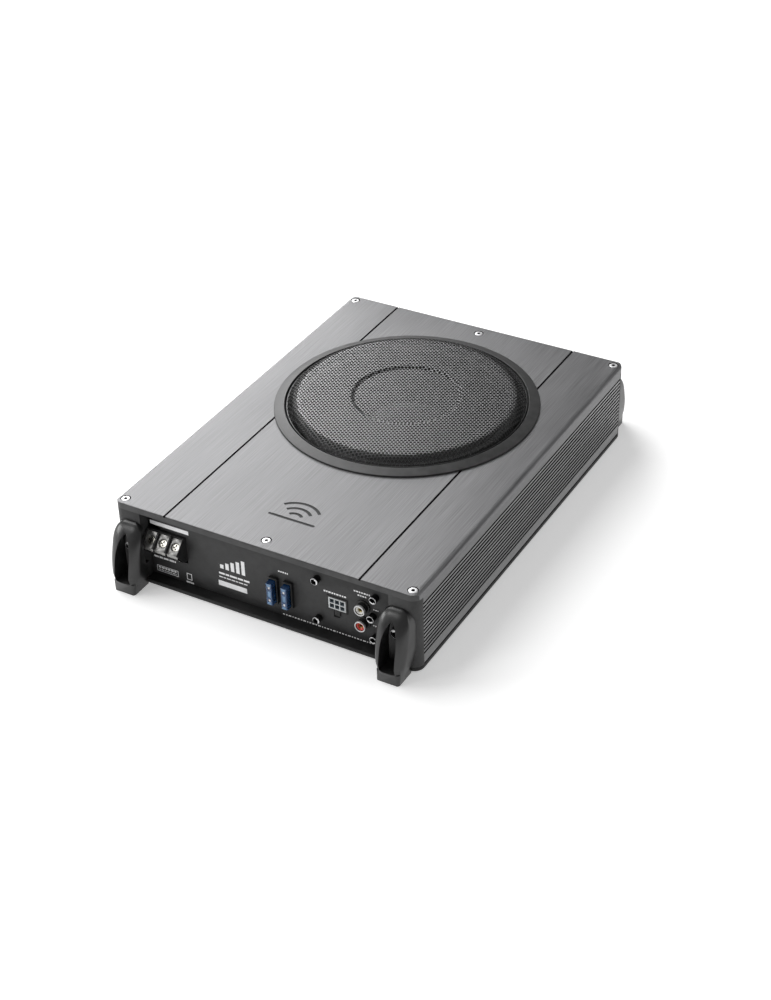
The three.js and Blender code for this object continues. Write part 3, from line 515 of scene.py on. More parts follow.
fin_finish = coat("drawn_anodised", grey(0.2), grey(0.28), (0.36, 0.48), 0.7, 1500, 0.00003, (1, 0.02, 1))
for side in ("left", "right"):
    fins = eased_copy(f"side_extrusion_{side}", f"fins_{side}", 0.00022)
    fins.data.materials.append(fin_finish)
    # Painted shade: the faces between the fins are painted black.
    finish_faces(
        fins, painted_shade_black, lambda centre, normal: HALF_WIDTH - 0.0035 < abs(centre.x) < HALF_WIDTH - 0.0003
        and 0.012 < centre.z < LID_UNDERSIDE + 0.0005
    )
    fit(fins, "case", "fins", f"side_extrusion_{side}")

for number, (y, z) in enumerate(
    ((-0.1578, 0.0524), (-0.1589, 0.0189), (-0.1158, 0.0420), (-0.0614, 0.0385), (0.1594, 0.0514), (0.1575, 0.0192)),
    1,
):
    for side, sign in (("right", 1), ("left", -1)):
        face = (sign * (HALF_WIDTH - 0.0002), y, z)
        bolt = cap_screw(f"side_bolt_{side}_{number}", face, (sign, 0, 0), 0.0023, 0.003, 0.001, black_oxide)
        bolt.data.materials[1] = black_oxide
        fit(bolt, "case", "black_screw")

# ---- End caps, panels and floor plate
# The end caps are cast and powder coated, with rounded corner posts. The floor plate is folded sheet, and a
# printed sheet lies against each end cap's web. They are charcoal, and the floor plate is painted near black as
# painted shade for the shadowed recess floor.
powder_coat = coat("powder_coat", grey(0.03), grey(0.042), (0.46, 0.58), 0.1, 2200, 0.00003, gloss=0.35)
painted_shade_coat = coat("painted_shade_coat", grey(0.010), grey(0.015), (0.45, 0.6), 0.1, 2200, 0.00003, gloss=0.35)
for node, name, radius in (
    ("front_end_cap", "front_cap", 0.0005),
    ("rear_end_cap", "rear_cap", 0.0005),
    ("bottom_plate", "floor_plate", 0.0002),
    ("front_panel", "connector_sheet", 0.00015),
    ("rear_panel", "control_sheet", 0.00015),
):
    piece = eased_copy(node, name, radius)
    # The floor plate's near-black coat is painted shade.
    piece.data.materials.append(painted_shade_coat if name == "floor_plate" else powder_coat)
    fit(piece, "case", "panel_print" if "sheet" in name else "charcoal_coat", node)

# ---- Panel screws
# Tall cap screws stand on the connector sheet and hold the boards behind it. Their sides are blackened; the bright
# faces are a painted highlight, and the black sockets are painted shade.
PANEL_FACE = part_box("front_panel")[0][1]
for number, (x, z) in enumerate(
    ((0.0408, 0.0478), (0.0406, 0.0135), (0.0873, 0.0477), (0.0849, 0.0305), (0.0866, 0.0128)), 1
):
    face = (x, PANEL_FACE - 0.005, z)
    bolt = cap_screw(f"panel_bolt_{number}", face, (0, -1, 0), 0.00285, 0.0052, 0.0018, black_oxide)
    fit(bolt, "case", "black_screw")

# ---- Printed marks
# White ink marks the sockets with plain bars, dashes and boxes, screen printed on the connector sheet.
white_ink = coat("white_ink", grey(0.78), grey(0.88), (0.5, 0.6), 0, 2400, 0.00001, gloss=0.3)
INK = 0.00006


def ink_bars(name, bars):
    deselect()
    pieces = [
        block(name, (x0, PANEL_FACE - INK, z0), (x1, PANEL_FACE + 0.00002, z1)) for x0, x1, z0, z1 in bars
    ]
    deselect()
    for piece in pieces:
        piece.select_set(True)
    bpy.context.view_layer.objects.active = pieces[0]
    if len(pieces) > 1:
        bpy.ops.object.join()
    marks = bpy.context.object
    marks.name = name
    apply_modifier(marks, "BEVEL", width=0.000015, segments=1)
    marks.data.materials.append(white_ink)
    fit(marks, "case", "panel_print")


def dashes(x0, x1, z, height, lengths, gap=0.0006):
    bars = []
    x = x0
    step = 0
    while x < x1 - 0.0004:
        end = min(x + lengths[step % len(lengths)], x1)
        bars.append((x, end, z - height / 2, z + height / 2))
        x = end + gap
        step += 1
    return bars


def frame_bars(x0, x1, z0, z1, width):
    low, high = z0 + width + 0.00002, z1 - width - 0.00002
    return [
        (x0, x1, z1 - width, z1), (x0, x1, z0, z0 + width),
        (x0, x0 + width, low, high), (x1 - width, x1, low, high),
    ]


ink_bars("terminal_strip_mark", [(-0.1005, -0.067, 0.0486, 0.0519)])
ink_bars(
    "terminal_marks",
    dashes(-0.100, -0.081, 0.0200, 0.0016, (0.004, 0.003, 0.0045))
    + frame_bars(-0.0986, -0.0797, 0.0069, 0.0123, 0.0005)
    + dashes(-0.0970, -0.0815, 0.0107, 0.0014, (0.002, 0.0025, 0.0018))
    + dashes(-0.0970, -0.0815, 0.0086, 0.0008, (0.0016, 0.0022)),
)
ink_bars("bin_mark", [(-0.0730, -0.0665, 0.0048, 0.0063)] + frame_bars(-0.0722, -0.0676, 0.0078, 0.0136, 0.0006))
ink_bars("name_strip_mark", [(-0.0440, -0.0197, 0.0127, 0.0172)])
ink_bars(
    "level_marks",
    [(-0.0415 + 0.0046 * i, -0.0386 + 0.0046 * i, 0.0285, 0.0285 + 0.0035 + 0.0022 * i) for i in range(5)]
    + dashes(-0.0430, -0.0170, 0.0240, 0.0016, (0.005, 0.0032, 0.006, 0.0045))
    + dashes(-0.0430, -0.0190, 0.0207, 0.0009, (0.003, 0.0022, 0.0035)),
)
ink_bars("fuse_mark", dashes(0.0083, 0.0164, 0.0430, 0.0012, (0.0013, 0.0011)))
ink_bars("speaker_input_mark", dashes(0.0454, 0.0634, 0.0390, 0.0013, (0.0014, 0.0012, 0.0019)))
ink_bars(
    "line_input_marks",
    dashes(0.0699, 0.0827, 0.0475, 0.0012, (0.0013, 0.0017, 0.0011))
    + dashes(0.0729, 0.0800, 0.0447, 0.0012, (0.0014, 0.0011))
    + dashes(0.0850, 0.0890, 0.0362, 0.0009, (0.001, 0.0012))
    + dashes(0.0845, 0.0875, 0.0222, 0.0009, (0.001,)),
)
ink_bars("foot_line_mark", dashes(0.0100, 0.0840, 0.0056, 0.0009, (0.0016, 0.0011, 0.0022, 0.0009, 0.0014), 0.001))

# ---- Trim ring
# The ring is turned from aluminium and coated satin grey. It rises to a thin lip round the grille.


def turned(name, profile, steps, centre, closed=True):
    deselect()
    x, y, z = centre
    radius, height = profile[0]
    bpy.ops.mesh.primitive_circle_add(vertices=steps, radius=radius, location=(x, y, z + height))
    piece = bpy.context.object
    piece.name = name
    settle(piece)
    bpy.ops.object.mode_set(mode="EDIT")
    bpy.ops.mesh.select_mode(type="VERT")
    bpy.ops.mesh.select_all(action="SELECT")
    if not closed:
        bpy.ops.mesh.edge_face_add()
    route = profile[1:] + profile[:1] if closed else profile[1:]
    for next_radius, next_height in route:
        bpy.ops.mesh.extrude_region()
        bpy.ops.transform.translate(value=(0, 0, next_height - height))
        ratio = next_radius / radius
        bpy.ops.transform.resize(value=(ratio, ratio, 1), center_override=(x, y, z + next_height))
        radius, height = next_radius, next_height
    bpy.ops.mesh.select_all(action="SELECT")
    bpy.ops.mesh.remove_doubles(threshold=0.000001)
    bpy.ops.mesh.normals_make_consistent(inside=False)
    bpy.ops.object.mode_set(mode="OBJECT")
    return piece


ring = turned(
    "ring",
    [(0.0968, 0), (0.1025, 0), (0.1025, 0.0012), (0.1023, 0.0014), (0.0949, 0.00345), (0.0945, 0.0035),
     (0.0942, 0.0033), (0.0941, 0.003), (0.0941, 0.0012), (0.0968, 0.0012)],
    160,
    (0, SPEAKER_Y, LID_TOP),
)
smooth(ring, 25)
ring.data.materials.append(coat("satin_ring", grey(0.035), grey(0.05), (0.36, 0.46), 0.3, 1800, 0.00002))
fit(ring, "case", "ring_coat", "trim_ring")

# ---- Grille
# The grille is steel sheet, punched with a staggered pattern of six-sided holes and pressed into a low dome with
# a shallow round step in its middle. It is coated grey, and a plain rim holds it under the ring. The shoulder,
# the hole walls and the rim carry painted shade, a darker grey steel.
HOLE_PITCH = 0.0028
HOLE_RATIO = 0.82
GRILLE_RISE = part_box("grille")[1][2] - LID_TOP
PUNCHED_RADIUS = 0.0915
LATTICE_TURN = math.radians(-4.4)
SHOULDER_RADIUS = 0.0845
SHEET_THICKNESS = 0.0005
SHEET_START = (0, SPEAKER_Y, LID_TOP + 0.02)
WELD_DISTANCE = 0.00005

dome = turned(
    "dome",
    [(0.0935, 0.0001), (0.0929, 0.0011), (0.0925, 0.0026), (0.0915, 0.0042), (0.0898, 0.0059), (0.0875, 0.0073),
     (0.0848, 0.0081), (0.082, GRILLE_RISE), (0.0428, GRILLE_RISE), (0.0422, GRILLE_RISE - 0.0002),
     (0.0412, GRILLE_RISE - 0.0013), (0.0406, GRILLE_RISE - 0.0015), (0.0001, GRILLE_RISE - 0.0015)],
    160,
    (0, SPEAKER_Y, LID_TOP),
    closed=False,
)

deselect()
bpy.ops.mesh.primitive_circle_add(
    vertices=6, radius=HOLE_PITCH / math.sqrt(3), fill_type="NGON", location=SHEET_START,
    rotation=(0, 0, math.pi / 6),
)
sheet = bpy.context.object
sheet.name = "punched_sheet"
settle(sheet)
bpy.ops.object.mode_set(mode="EDIT")
bpy.ops.mesh.select_all(action="SELECT")
bpy.ops.mesh.inset(thickness=HOLE_PITCH / 2 * (1 - HOLE_RATIO))
bpy.ops.transform.rotate(value=math.pi / 6, orient_axis="Z", center_override=SHEET_START)
bpy.ops.mesh.delete(type="FACE")
bpy.ops.object.mode_set(mode="OBJECT")
for count, shift in (
    (70, (0, HOLE_PITCH, 0)),
    (2, (HOLE_PITCH * math.sqrt(3) / 2, HOLE_PITCH / 2, 0)),
    (40, (HOLE_PITCH * math.sqrt(3), 0, 0)),
):
    apply_modifier(
        sheet, "ARRAY", count=count, use_relative_offset=False, use_constant_offset=True,
        constant_offset_displace=shift, use_merge_vertices=True, merge_threshold=WELD_DISTANCE,
    )
only(sheet)
bpy.ops.object.origin_set(type="ORIGIN_GEOMETRY", center="BOUNDS")
sheet.location = SHEET_START
sheet.rotation_euler = (0, 0, LATTICE_TURN)
settle(sheet)
pick_faces(sheet, lambda centre, normal: math.hypot(centre.x, centre.y - SPEAKER_Y) > PUNCHED_RADIUS)
bpy.ops.mesh.delete(type="FACE")
bpy.ops.mesh.select_all(action="SELECT")
bpy.ops.mesh.remove_doubles(threshold=WELD_DISTANCE)
bpy.ops.object.mode_set(mode="OBJECT")
apply_modifier(
    sheet, "SHRINKWRAP", target=dome, wrap_method="PROJECT", use_project_z=True,
    use_negative_direction=True, use_positive_direction=False,
)
bpy.data.objects.remove(dome)
apply_modifier(sheet, "SOLIDIFY", thickness=SHEET_THICKNESS, offset=-1)


def sheet_steel(name, metallic, dark, light, rough):
    finish = new_finish(name, metallic)
    wire_up(
        finish,
        Base_Color=ramp(finish, noise(finish, (1, 1, 1), 9000, 2), 0.3, 0.7, dark, light),
        Roughness=spread(finish, noise(finish, (1, 1, 1), 9000, 2), *rough),
    )
    return finish


grille_steel = sheet_steel("grille_steel", 0.85, grey(0.22), grey(0.28), (0.34, 0.4))
painted_shade_steel = sheet_steel("painted_shade_steel", 0.6, grey(0.035), grey(0.05), (0.3, 0.38))
sheet.data.materials.append(grille_steel)
# Painted shade: the shoulder and the hole walls get a darker steel.
finish_faces(
    sheet,
    painted_shade_steel,
    lambda centre, normal: math.hypot(centre.x, centre.y - SPEAKER_Y) > SHOULDER_RADIUS or abs(normal.z) < 0.5,
)
fit(sheet, "case", "grille_steel", "grille")

rim = turned(
    "grille_rim",
    [(0.0963, 0.0001), (0.0963, 0.0011), (0.0936, 0.0011), (0.0930, 0.0016), (0.0928, 0.0027), (0.0919, 0.0027),
     (0.0921, 0.0012), (0.0926, 0.0002)],
    160,
    (0, SPEAKER_Y, LID_TOP),
)
smooth(rim, 40)
# The rim carries the same painted shade.
rim.data.materials.append(painted_shade_steel)
fit(rim, "case", "grille_steel")

# ---- Feet
# Each corner has a bumper foot moulded in black satin plastic. It swells from a round crown to the toe and has a
# pointed arch in front, where a socket screw holds it to the end cap's post.
FOOT_X = 0.110
FOOT_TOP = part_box("foot_front_right")[1][2]
FOOT_REACH = 0.0199
FOOT_HALF_WIDTH = 0.0123
FOOT_SHOULDER = 0.038
FOOT_WAIST = 0.026
FOOT_LIP = 0.0096
ARCH_HALF_WIDTH = 0.0062
ARCH_SPRING = 0.027
ARCH_TOP = 0.047
FOOT_SCREW_Z = 0.0345
FOOT_CORNER = 0.0078
CURVE_POWER = 2.6
NOTCH_GAP = 0.0012


def bezier(points, t):
    while len(points) > 1:
        points = [
            tuple(a + (b - a) * t for a, b in zip(first, second)) for first, second in zip(points, points[1:])
        ]
    return points[0]


def foot_half_width(z):
    if z > FOOT_SHOULDER:
        up = (z - FOOT_SHOULDER) / (FOOT_TOP + 0.0003 - FOOT_SHOULDER)
        return FOOT_HALF_WIDTH * (1 - up ** CURVE_POWER) ** (1 / CURVE_POWER)
    down = max(0, FOOT_WAIST - z) / FOOT_WAIST
    return FOOT_HALF_WIDTH - 0.0036 * down ** 1.5


def foot_levels(count):
    route = ((FOOT_REACH, 0.0145), (0.85 * FOOT_REACH, 0.033), (0.0084, FOOT_TOP - 0.0012), (0.0006, FOOT_TOP))
    levels = [(FOOT_REACH - 0.002, 0.0076), (FOOT_REACH - 0.0013, 0.0079)]
    for i in range(count + 1):
        t = 1 - (1 - i / count) ** 1.4
        levels.append(bezier(route, t))
    return levels


def arch_outline():
    route = ((ARCH_HALF_WIDTH, ARCH_SPRING), (ARCH_HALF_WIDTH, 0.036), (0.0036, 0.0445), (0, ARCH_TOP))
    rise = [bezier(route, i / 12) for i in range(13)]
    fall = [(-x, z) for x, z in reversed(rise[:-1])]
    return [(ARCH_HALF_WIDTH, FOOT_LIP)] + rise + fall + [(-ARCH_HALF_WIDTH, FOOT_LIP)]


def ease_corners(piece, width):
    apply_modifier(piece, "BEVEL", width=width, segments=2, limit_method="ANGLE", angle_limit=math.radians(50))


deselect()
levels = foot_levels(26)
reach, height = levels[0]
half_width = foot_half_width(height)
bpy.ops.mesh.primitive_plane_add(size=2, location=(0, 0, height))
moulding = bpy.context.object
moulding.name = "moulding"
moulding.scale = (half_width, reach, 1)
settle(moulding)
bpy.ops.object.mode_set(mode="EDIT")
bpy.ops.mesh.select_mode(type="VERT")
bpy.ops.mesh.select_all(action="SELECT")
bpy.ops.mesh.bevel(offset=FOOT_CORNER, segments=12, affect="VERTICES")
bpy.ops.mesh.select_all(action="SELECT")
for next_reach, next_height in levels[1:]:
    next_half = foot_half_width(next_height)
    bpy.ops.mesh.extrude_region()
    bpy.ops.transform.translate(value=(0, 0, next_height - height))
    bpy.ops.transform.resize(
        value=(next_half / half_width, next_reach / reach, 1), center_override=(0, 0, next_height)
    )
    reach, height, half_width = next_reach, next_height, next_half
bpy.ops.mesh.select_all(action="SELECT")
bpy.ops.mesh.normals_make_consistent(inside=False)
bpy.ops.object.mode_set(mode="OBJECT")
trim(moulding, block("space", (-0.03, 0.0034, -0.01), (0.03, 0.05, 0.08)))
toe = arc(0.0068, -0.0156, 0.0022, 0, -75, 5)
toe += [(-x, y) for x, y in reversed(toe)]
trim(moulding, slab("sole", [(0.009, 0)] + toe + [(-0.009, 0)], 0, 0.009), "UNION")
trim(moulding, slab("arch", arch_outline(), -0.04, -0.0032, "Y"))
ease_corners(moulding, 0.0003)

foot_plastic = coat("foot_plastic", grey(0.010), grey(0.013), (0.28, 0.34), 0, 2600, 0.000003, gloss=0.6)
for end, sign in (("front", 1), ("rear", -1)):
    for side, hand in (("left", -1), ("right", 1)):
        only(moulding)
        bpy.ops.object.duplicate()
        foot = bpy.context.object
        foot.name = f"{end}_{side}_foot"
        foot.rotation_euler = (0, 0, 0 if sign > 0 else math.pi)
        foot.location = (hand * FOOT_X, -sign * HALF_LENGTH, 0)
        settle(foot)
        case_outline = block("space", (-HALF_WIDTH, -HALF_LENGTH, 0.001), (HALF_WIDTH, HALF_LENGTH, 0.07))
        round_edges(case_outline, upright, CASE_CORNER, 10)
        trim(foot, case_outline)
        if (end, side) == ("front", "left"):
            left_of_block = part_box("terminal_clamp_1")[0][0] - NOTCH_GAP
            trim(foot, block("space", (left_of_block - NOTCH_GAP, -0.1761, 0.0215), (-0.09, -0.16, 0.0465)))
        smooth(foot, 32)
        foot.data.materials.append(foot_plastic)
        fit(foot, "case", "foot_plastic", f"foot_{end}_{side}")
        face = (hand * FOOT_X, -sign * (HALF_LENGTH + 0.006), FOOT_SCREW_Z)
        # The foot screw is blackened; its bright face is a painted highlight and its socket is painted shade.
        bolt = cap_screw(f"{end}_{side}_foot_bolt", face, (0, -sign, 0), 0.0036, 0.0028, 0.0018, black_oxide)
        fit(bolt, "case", "black_screw", f"foot_screw_{end}_{side}")
bpy.data.objects.remove(moulding)

# ---- Power terminals
# A black moulded block holds three nickel-plated brass clamps. Each has a sloping face with a cross-slot screw,
# which presses a copper pad onto the wire in the square way below it.
socket_plastic = coat("socket_plastic", grey(0.010), grey(0.018), (0.32, 0.44), 0, 2500, 0.00002, gloss=0.35)
nickel = coat("nickel", (0.26, 0.257, 0.25), (0.34, 0.336, 0.325), (0.3, 0.38), 0.6, 1200, 0.00001)
screw_nickel = coat("screw_nickel", (0.66, 0.64, 0.57), (0.8, 0.78, 0.72), (0.26, 0.34), 0.9, 1200, 0.00001)
pad_copper = coat("pad_copper", (0.5, 0.24, 0.12), (0.62, 0.32, 0.17), (0.3, 0.42), 1.0, 1200, 0.00001)
housing = eased_copy("terminal_housing", "terminal_block", 0.0004, 3)
housing.data.materials.append(socket_plastic)
fit(housing, "case", "socket_plastic", "terminal_housing")
TERMINAL_SCREWS = {
    joint["child"]: joint["pos_m"] for joint in frame["record"]["behaviour"]["joints"]
    if joint["child"].startswith("terminal_screw")
}
CLAMP_SLOPE = math.pi / 4
SLOT_LONG, SLOT_SHORT = 0.0021, 0.00055
for number in (1, 2, 3):
    clamp = eased_copy(f"terminal_clamp_{number}", f"wire_clamp_{number}", 0.00035, 3)
    clamp.data.materials.append(nickel)
    # Painted shade: the wire way's mouth and the upright faces under each clamp's lip are painted black.
    finish_faces(clamp, painted_shade_black, lambda centre, normal: centre.y > -0.1725 and centre.z < 0.0325
                 and abs(normal.z) < 0.9 and 0.0264 < centre.z)
    fit(clamp, "case", "nickel", f"terminal_clamp_{number}")
    screw = rod("clamp_screw", 0.003, (0, 0, -0.00385), 0.0053, "Z", 48)
    round_edges(screw, lambda a, b: min(a.z, b.z) > -0.0013, 0.00045, 4)
    for size in ((SLOT_LONG, SLOT_SHORT), (SLOT_SHORT, SLOT_LONG)):
        trim(screw, block("slot", (-size[0], -size[1], -0.0026), (size[0], size[1], 0.001)))
    face = TERMINAL_SCREWS[f"terminal_screw_{number}"]
    screw.rotation_euler = (CLAMP_SLOPE, 0, 0)
    screw.location = face
    settle(screw)
    smooth(screw, 30)
    screw.name = f"clamp_screw_{number}"
    screw.data.materials.append(screw_nickel)
    # Painted shade: the cross slot is painted black.
    finish_faces(
        screw,
        painted_shade_black,
        lambda centre, normal: math.dist(centre, face) < 0.0039 and normal.z < 0.69
        and math.hypot(centre.x - face[0], (centre.y - face[1] + centre.z - face[2]) * 0.7071) < 0.0022,
    )
    fit(screw, f"terminal_screw_{number}", "nickel", f"terminal_screw_{number}")
    pad = eased_copy(f"terminal_pad_{number}", f"clamp_pad_{number}", 0.0001, 2)
    pad.data.materials.append(pad_copper)
    fit(pad, f"terminal_pad_{number}", "copper", f"terminal_pad_{number}")

# ---- Fuses
# Two blade fuses stand on edge in a black holder. Their bodies are clear blue plastic with a window over each
# blade and a sunk label field between them, and the blades are tinned zinc.
fuse_blue = coat("fuse_blue", (0.012, 0.055, 0.16), (0.02, 0.08, 0.22), (0.12, 0.2), 0, 900, 0.00001)
fuse_shader = fuse_blue.node_tree.nodes["Principled BSDF"]
fuse_shader.inputs["Transmission Weight"].default_value = 0.25
fuse_shader.inputs["Coat Weight"].default_value = 0.5
fuse_face = coat("fuse_face", (0.1, 0.2, 0.34), (0.16, 0.28, 0.44), (0.2, 0.3), 0, 1500, 0.00001)
tinned = coat("tinned_blade", grey(0.55), grey(0.66), (0.3, 0.4), 1.0, 1500, 0.00001)
holder = eased_copy("fuse_holder", "fuse_base", 0.0003)
holder.data.materials.append(socket_plastic)
fit(holder, "case", "socket_plastic", "fuse_holder")
for side in ("left", "right"):
    low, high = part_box(f"fuse_{side}")
    x, z = (low[0] + high[0]) / 2, (low[2] + high[2]) / 2
    # A black collar round each fuse: partly the holder's boss, partly a dark piece that stands for the shade beside
    # the fuse.
    boss_and_shade_collar = block(f"fuse_boss_and_shade_{side}", (x - 0.0034, PANEL_FACE - 0.0028, z - 0.0108),
                   (x + 0.0040, PANEL_FACE + 0.0002, z + 0.0114))
    round_edges(boss_and_shade_collar, lambda a, b: abs(a.x - b.x) < SAME_PLACE and abs(a.z - b.z) < SAME_PLACE, 0.0008, 3)
    trim(boss_and_shade_collar, block("space", (x - 0.0028, -BEYOND, z - 0.0100), (x + 0.0028, -0.1, z + 0.0100)))
    ease_corners(boss_and_shade_collar, 0.0002)
    smooth(boss_and_shade_collar)
    boss_and_shade_collar.data.materials.append(socket_plastic)
    fit(boss_and_shade_collar, "case", "socket_plastic")
    front, half, tall = low[1], (high[0] - low[0]) / 2, (high[2] - low[2]) / 2
    fuse = block(f"fuse_body_{side}", (x - half, front, z - tall), (x + half, front + 0.0054, z + tall))
    round_edges(fuse, lambda a, b: max(a.y, b.y) < front + SAME_PLACE, 0.0006, 4)
    for end in (-1, 1):
        z0, z1 = sorted((z + end * 0.0043, z + end * 0.0066))
        trim(fuse, block("window", (x - 0.001, front - 0.001, z0), (x + 0.001, front + 0.0005, z1)))
        cheek = sorted((x + end * (half - 0.0004), x + end * (half + 0.001)))
        trim(fuse, block("cheek", (cheek[0], front + 0.0014, z - 0.0062), (cheek[1], front + 0.01, z + 0.0062)))
    trim(fuse, block("field", (x - 0.0014, front - 0.001, z - 0.0028), (x + 0.0014, front + 0.0003, z + 0.0028)))
    waist = block("waist", (x - half + 0.0005, front + 0.005, z - tall + 0.001),
                  (x + half - 0.0005, front + 0.011, z + tall - 0.001))
    trim(fuse, waist, "UNION")
    smooth(fuse, 30)
    fuse.data.materials.append(fuse_blue)
    finish_faces(fuse, fuse_face, lambda centre, normal: normal.y < -0.8 and centre.y < front + 0.0001
                 and 0.0068 < abs(centre.z - z))
    for finish, near, far in ((white_ink, 0.00045, 0.0006), (fuse_face, 0.0002, 0.0004)):
        finish_faces(fuse, finish, lambda centre, normal: normal.y < -0.8 and front + near < centre.y < front + far)
    fit(fuse, f"fuse_{side}", "fuse_blue", f"fuse_{side}")
    for end, label in ((-1, "lower"), (1, "upper")):
        middle = z + end * 0.0056
        blade = block(f"fuse_blade_{side}_{label}", (x - 0.00035, front + 0.0105, middle - 0.0026),
                      (x + 0.00035, front + 0.018, middle + 0.0026))
        round_edges(blade, lambda a, b: a.y > front + 0.0179 and b.y > front + 0.0179, 0.0003, 2)
        blade.data.materials.append(tinned)
        fit(blade, f"fuse_{side}", "nickel")

# ---- Speaker-level socket
# A white nylon socket has six cells in two rows, with a tinned pin in each. A black moulded bezel frames it,
# with a tongue for the plug's latch.
white_nylon = coat("white_nylon", (0.5, 0.52, 0.53), (0.6, 0.62, 0.62), (0.35, 0.45), 0, 1800, 0.00001)
cell_grey = coat("cell_grey", (0.12, 0.15, 0.17), (0.18, 0.21, 0.24), (0.3, 0.4), 0, 1800, 0.00001)
socket_low, socket_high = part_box("high_level_socket")
socket_x = (socket_low[0] + socket_high[0]) / 2
socket_z = (socket_low[2] + socket_high[2]) / 2
socket = eased_copy("high_level_socket", "speaker_input_socket", 0.00015)
socket.data.materials.append(white_nylon)
finish_faces(
    socket, cell_grey,
    lambda centre, normal: centre.y > PANEL_FACE - 0.0004 and abs(centre.x - socket_x) < 0.0061
    and abs(centre.z - socket_z) < 0.0039,
)
fit(socket, "case", "white_plastic", "high_level_socket")
bezel = block("speaker_input_bezel", (socket_x - 0.0083, PANEL_FACE - 0.0006, socket_z - 0.006),
              (socket_x + 0.0083, PANEL_FACE + 0.0015, socket_z + 0.006))
trim(bezel, block("tongue", (socket_x - 0.0022, PANEL_FACE - 0.0009, socket_z - 0.0098),
                  (socket_x + 0.0022, PANEL_FACE + 0.0015, socket_z - 0.0055)), "UNION")
mouth_low = (socket_x - 0.00705, -BEYOND, socket_z - 0.00475)
trim(bezel, block("space", mouth_low, (socket_x + 0.00705, -0.1, socket_z + 0.00475)))
ease_corners(bezel, 0.0002)
smooth(bezel)
bezel.data.materials.append(socket_plastic)
fit(bezel, "case", "socket_plastic")

# ---- Line-level sockets
# A pair of phono sockets stands on one moulded block. Each barrel is black with a bright rolled rim, and the
# inserts are white and red.
red_nylon = coat("red_nylon", (0.5, 0.03, 0.015), (0.62, 0.05, 0.03), (0.25, 0.35), 0, 1800, 0.00001)
clean_white = coat("clean_white", (0.66, 0.65, 0.6), (0.76, 0.75, 0.7), (0.25, 0.35), 0, 1800, 0.00001)
contact_brass = coat("contact_brass", (0.45, 0.34, 0.12), (0.55, 0.43, 0.18), (0.3, 0.4), 1.0, 1800, 0.00001)
block_body = eased_copy("rca_block", "line_input_block", 0.0002)
block_body.data.materials.append(socket_plastic)
fit(block_body, "case", "socket_plastic", "rca_block")
for colour, finish in (("white", clean_white), ("red", red_nylon)):
    low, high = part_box(f"rca_insert_{colour}")
    place = ((low[0] + high[0]) / 2, -0.152, (low[2] + high[2]) / 2)
    for name, profile, surface, slot in (
        (f"line_insert_{colour}", [(0.0017, 0), (0.0033, 0), (0.0033, 0.0156), (0.0031, 0.0160), (0.0027, 0.0162),
                                   (0.0021, 0.0159), (0.0017, 0.0154)], finish, f"{colour}_plastic"),
        (f"line_rim_{colour}", [(0.0034, 0.0150), (0.0041, 0.0150), (0.0043, 0.0152), (0.0043, 0.0164),
                                (0.00405, 0.0168), (0.0036, 0.0168), (0.0034, 0.0165)], bright_plate_and_highlight, "nickel"),
        (f"line_contact_{colour}", [(0.0011, 0.004), (0.0016, 0.004), (0.0016, 0.0146), (0.0014, 0.0149),
                                    (0.0011, 0.0146)], contact_brass, "nickel"),
    ):
        part = turned(name, profile, 40, (0, 0, 0))
        part.rotation_euler = (math.pi / 2, 0, 0)
        part.location = place
        settle(part)
        smooth(part, 30)
        part.data.materials.append(surface)
        fit(part, "case", slot)
        if name.startswith("line_insert"):
            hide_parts(f"rca_insert_{colour}")

# ---- Rear controls
# Two fluted knobs set the level and the crossover, a slide switch sets the phase, and a modular socket takes a
# wired remote. They are moulded in black satin plastic, with white pointers let into the knobs.
KNOB_RADIUS = 0.0065
KNOB_FOOT_Y = 0.1631
FLUTES = 18
FLUTE_CIRCLE = 0.0068
knob_plastic = coat("knob_plastic", grey(0.014), grey(0.022), (0.36, 0.46), 0, 2400, 0.00002, gloss=0.4)
for node, name in (("level_knob", "level_dial"), ("lowpass_knob", "crossover_dial")):
    low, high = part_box(node)
    x, z, tip = (low[0] + high[0]) / 2, (low[2] + high[2]) / 2, high[1]
    depth = tip - KNOB_FOOT_Y
    knob = rod(name, KNOB_RADIUS, (x, tip - depth / 2, z), depth, "Y", 72)
    round_edges(knob, lambda a, b: min(a.y, b.y) > tip - SAME_PLACE, 0.0008, 4)
    for step in range(FLUTES):
        angle = math.radians(step * 20 + 10)
        middle = (x + FLUTE_CIRCLE * math.cos(angle), tip - depth / 2, z + FLUTE_CIRCLE * math.sin(angle))
        trim(knob, rod("flute", 0.0007, middle, depth - 0.0024, "Y", 12))
    trim(knob, block("slot", (x - 0.0005, tip - 0.0005, z + 0.0015), (x + 0.0005, tip + 0.001, z + 0.0055)))
    trim(knob, rod("shaft", 0.0029, (x, 0.157, z), 0.014, "Y", 32), "UNION")
    smooth(knob, 30)
    knob.data.materials.append(knob_plastic)
    fit(knob, node, "knob_plastic", node)
    pointer_low = (x - 0.00045, tip - 0.0006, z + 0.0016)
    pointer = block(f"{name}_pointer", pointer_low, (x + 0.00045, tip - 0.00005, z + 0.0054))
    round_edges(pointer, upright, 0.0001, 2)
    pointer.data.materials.append(clean_white)
    fit(pointer, node, "white_plastic")
slider = eased_copy("phase_switch", "phase_slider", 0.0004, 3)
slider_low, slider_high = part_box("phase_switch")
for step in range(3):
    x = slider_low[0] + 0.0010 + step * 0.0011
    trim(slider, block("rib", (x - 0.00025, slider_high[1] - 0.0004, -1), (x + 0.00025, slider_high[1] + 0.01, 1)))
slider.data.materials.append(knob_plastic)
fit(slider, "phase_switch", "knob_plastic", "phase_switch")
remote = eased_copy("remote_socket", "remote_jack", 0.0003)
remote.data.materials.append(socket_plastic)
fit(remote, "case", "socket_plastic", "remote_socket")

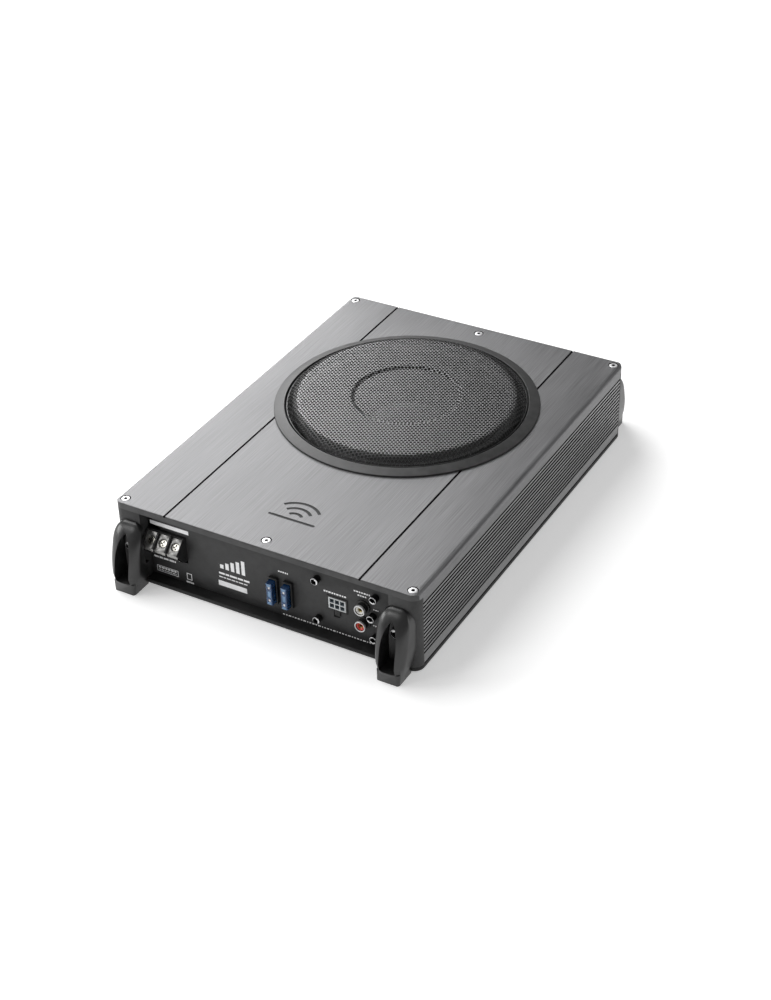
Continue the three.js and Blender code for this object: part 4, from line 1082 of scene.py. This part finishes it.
# ---- Driver
# The driver hangs under the lid on a foam gasket. A pressed basket carries the magnet, and a paper cone with a
# dust cap moves on a rubber roll and a resin-set cloth spider, driven by a copper coil.
driver_finishes = {
    "driver_gasket": coat("gasket_foam", grey(0.03), grey(0.05), (0.85, 0.95), 0, 1400, 0.0002, gloss=0.2),
    "driver_basket": coat("basket_enamel", grey(0.016), grey(0.024), (0.35, 0.5), 0.3, 1800, 0.00003),
    "cone": coat("cone_paper", grey(0.010), grey(0.02), (0.75, 0.9), 0, 900, 0.0002, gloss=0.2),
    "dust_cap": coat("dust_cap_paper", grey(0.012), grey(0.022), (0.6, 0.75), 0, 1100, 0.0001, gloss=0.3),
    "surround": coat("roll_rubber", grey(0.008), grey(0.014), (0.5, 0.65), 0, 2200, 0.00004, gloss=0.4),
    "voice_coil": coat(
        "coil_wire", (0.42, 0.18, 0.07), (0.62, 0.3, 0.13), (0.25, 0.4), 1.0, 1500, 0.0001, (0.05, 0.05, 1)
    ),
    "spider": coat("spider_cloth", (0.3, 0.17, 0.06), (0.42, 0.26, 0.1), (0.8, 0.95), 0, 1600, 0.0002, gloss=0.2),
    "front_pole_plate": coat("zinc_plate", (0.42, 0.42, 0.4), (0.55, 0.55, 0.52), (0.3, 0.45), 1.0, 500, 0.00003),
    "magnet": coat("ferrite", grey(0.02), grey(0.035), (0.6, 0.75), 0, 700, 0.0001, gloss=0.35),
}
driver_finishes["yoke"] = driver_finishes["front_pole_plate"]

# ---- Electronics
# The amplifier board lies on the floor plate with its toroidal choke and a sleeved capacitor, and the control
# board stands behind the rear panel. A rubber-covered pair of wires runs from the amplifier to the driver.
electronic_finishes = {
    "amplifier_board": coat("board_lacquer", (0.006, 0.07, 0.025), (0.012, 0.12, 0.045), (0.3, 0.45), 0, 900, 0.00004),
    "toroid": coat("choke_wire", (0.42, 0.16, 0.05), (0.66, 0.3, 0.12), (0.2, 0.35), 1.0, 1300, 0.0002, (1, 1, 0.1)),
    "capacitor": coat("capacitor_sleeve", grey(0.012), grey(0.02), (0.2, 0.3), 0, 1200, 0.00002),
    "speaker_lead": coat("lead_rubber", grey(0.012), grey(0.02), (0.5, 0.6), 0, 2000, 0.00003, gloss=0.4),
}
electronic_finishes["control_board"] = electronic_finishes["amplifier_board"]
for node, finish in {**driver_finishes, **electronic_finishes}.items():
    materials = frame["nodes"][node].data.materials
    materials.clear()
    materials.append(finish)
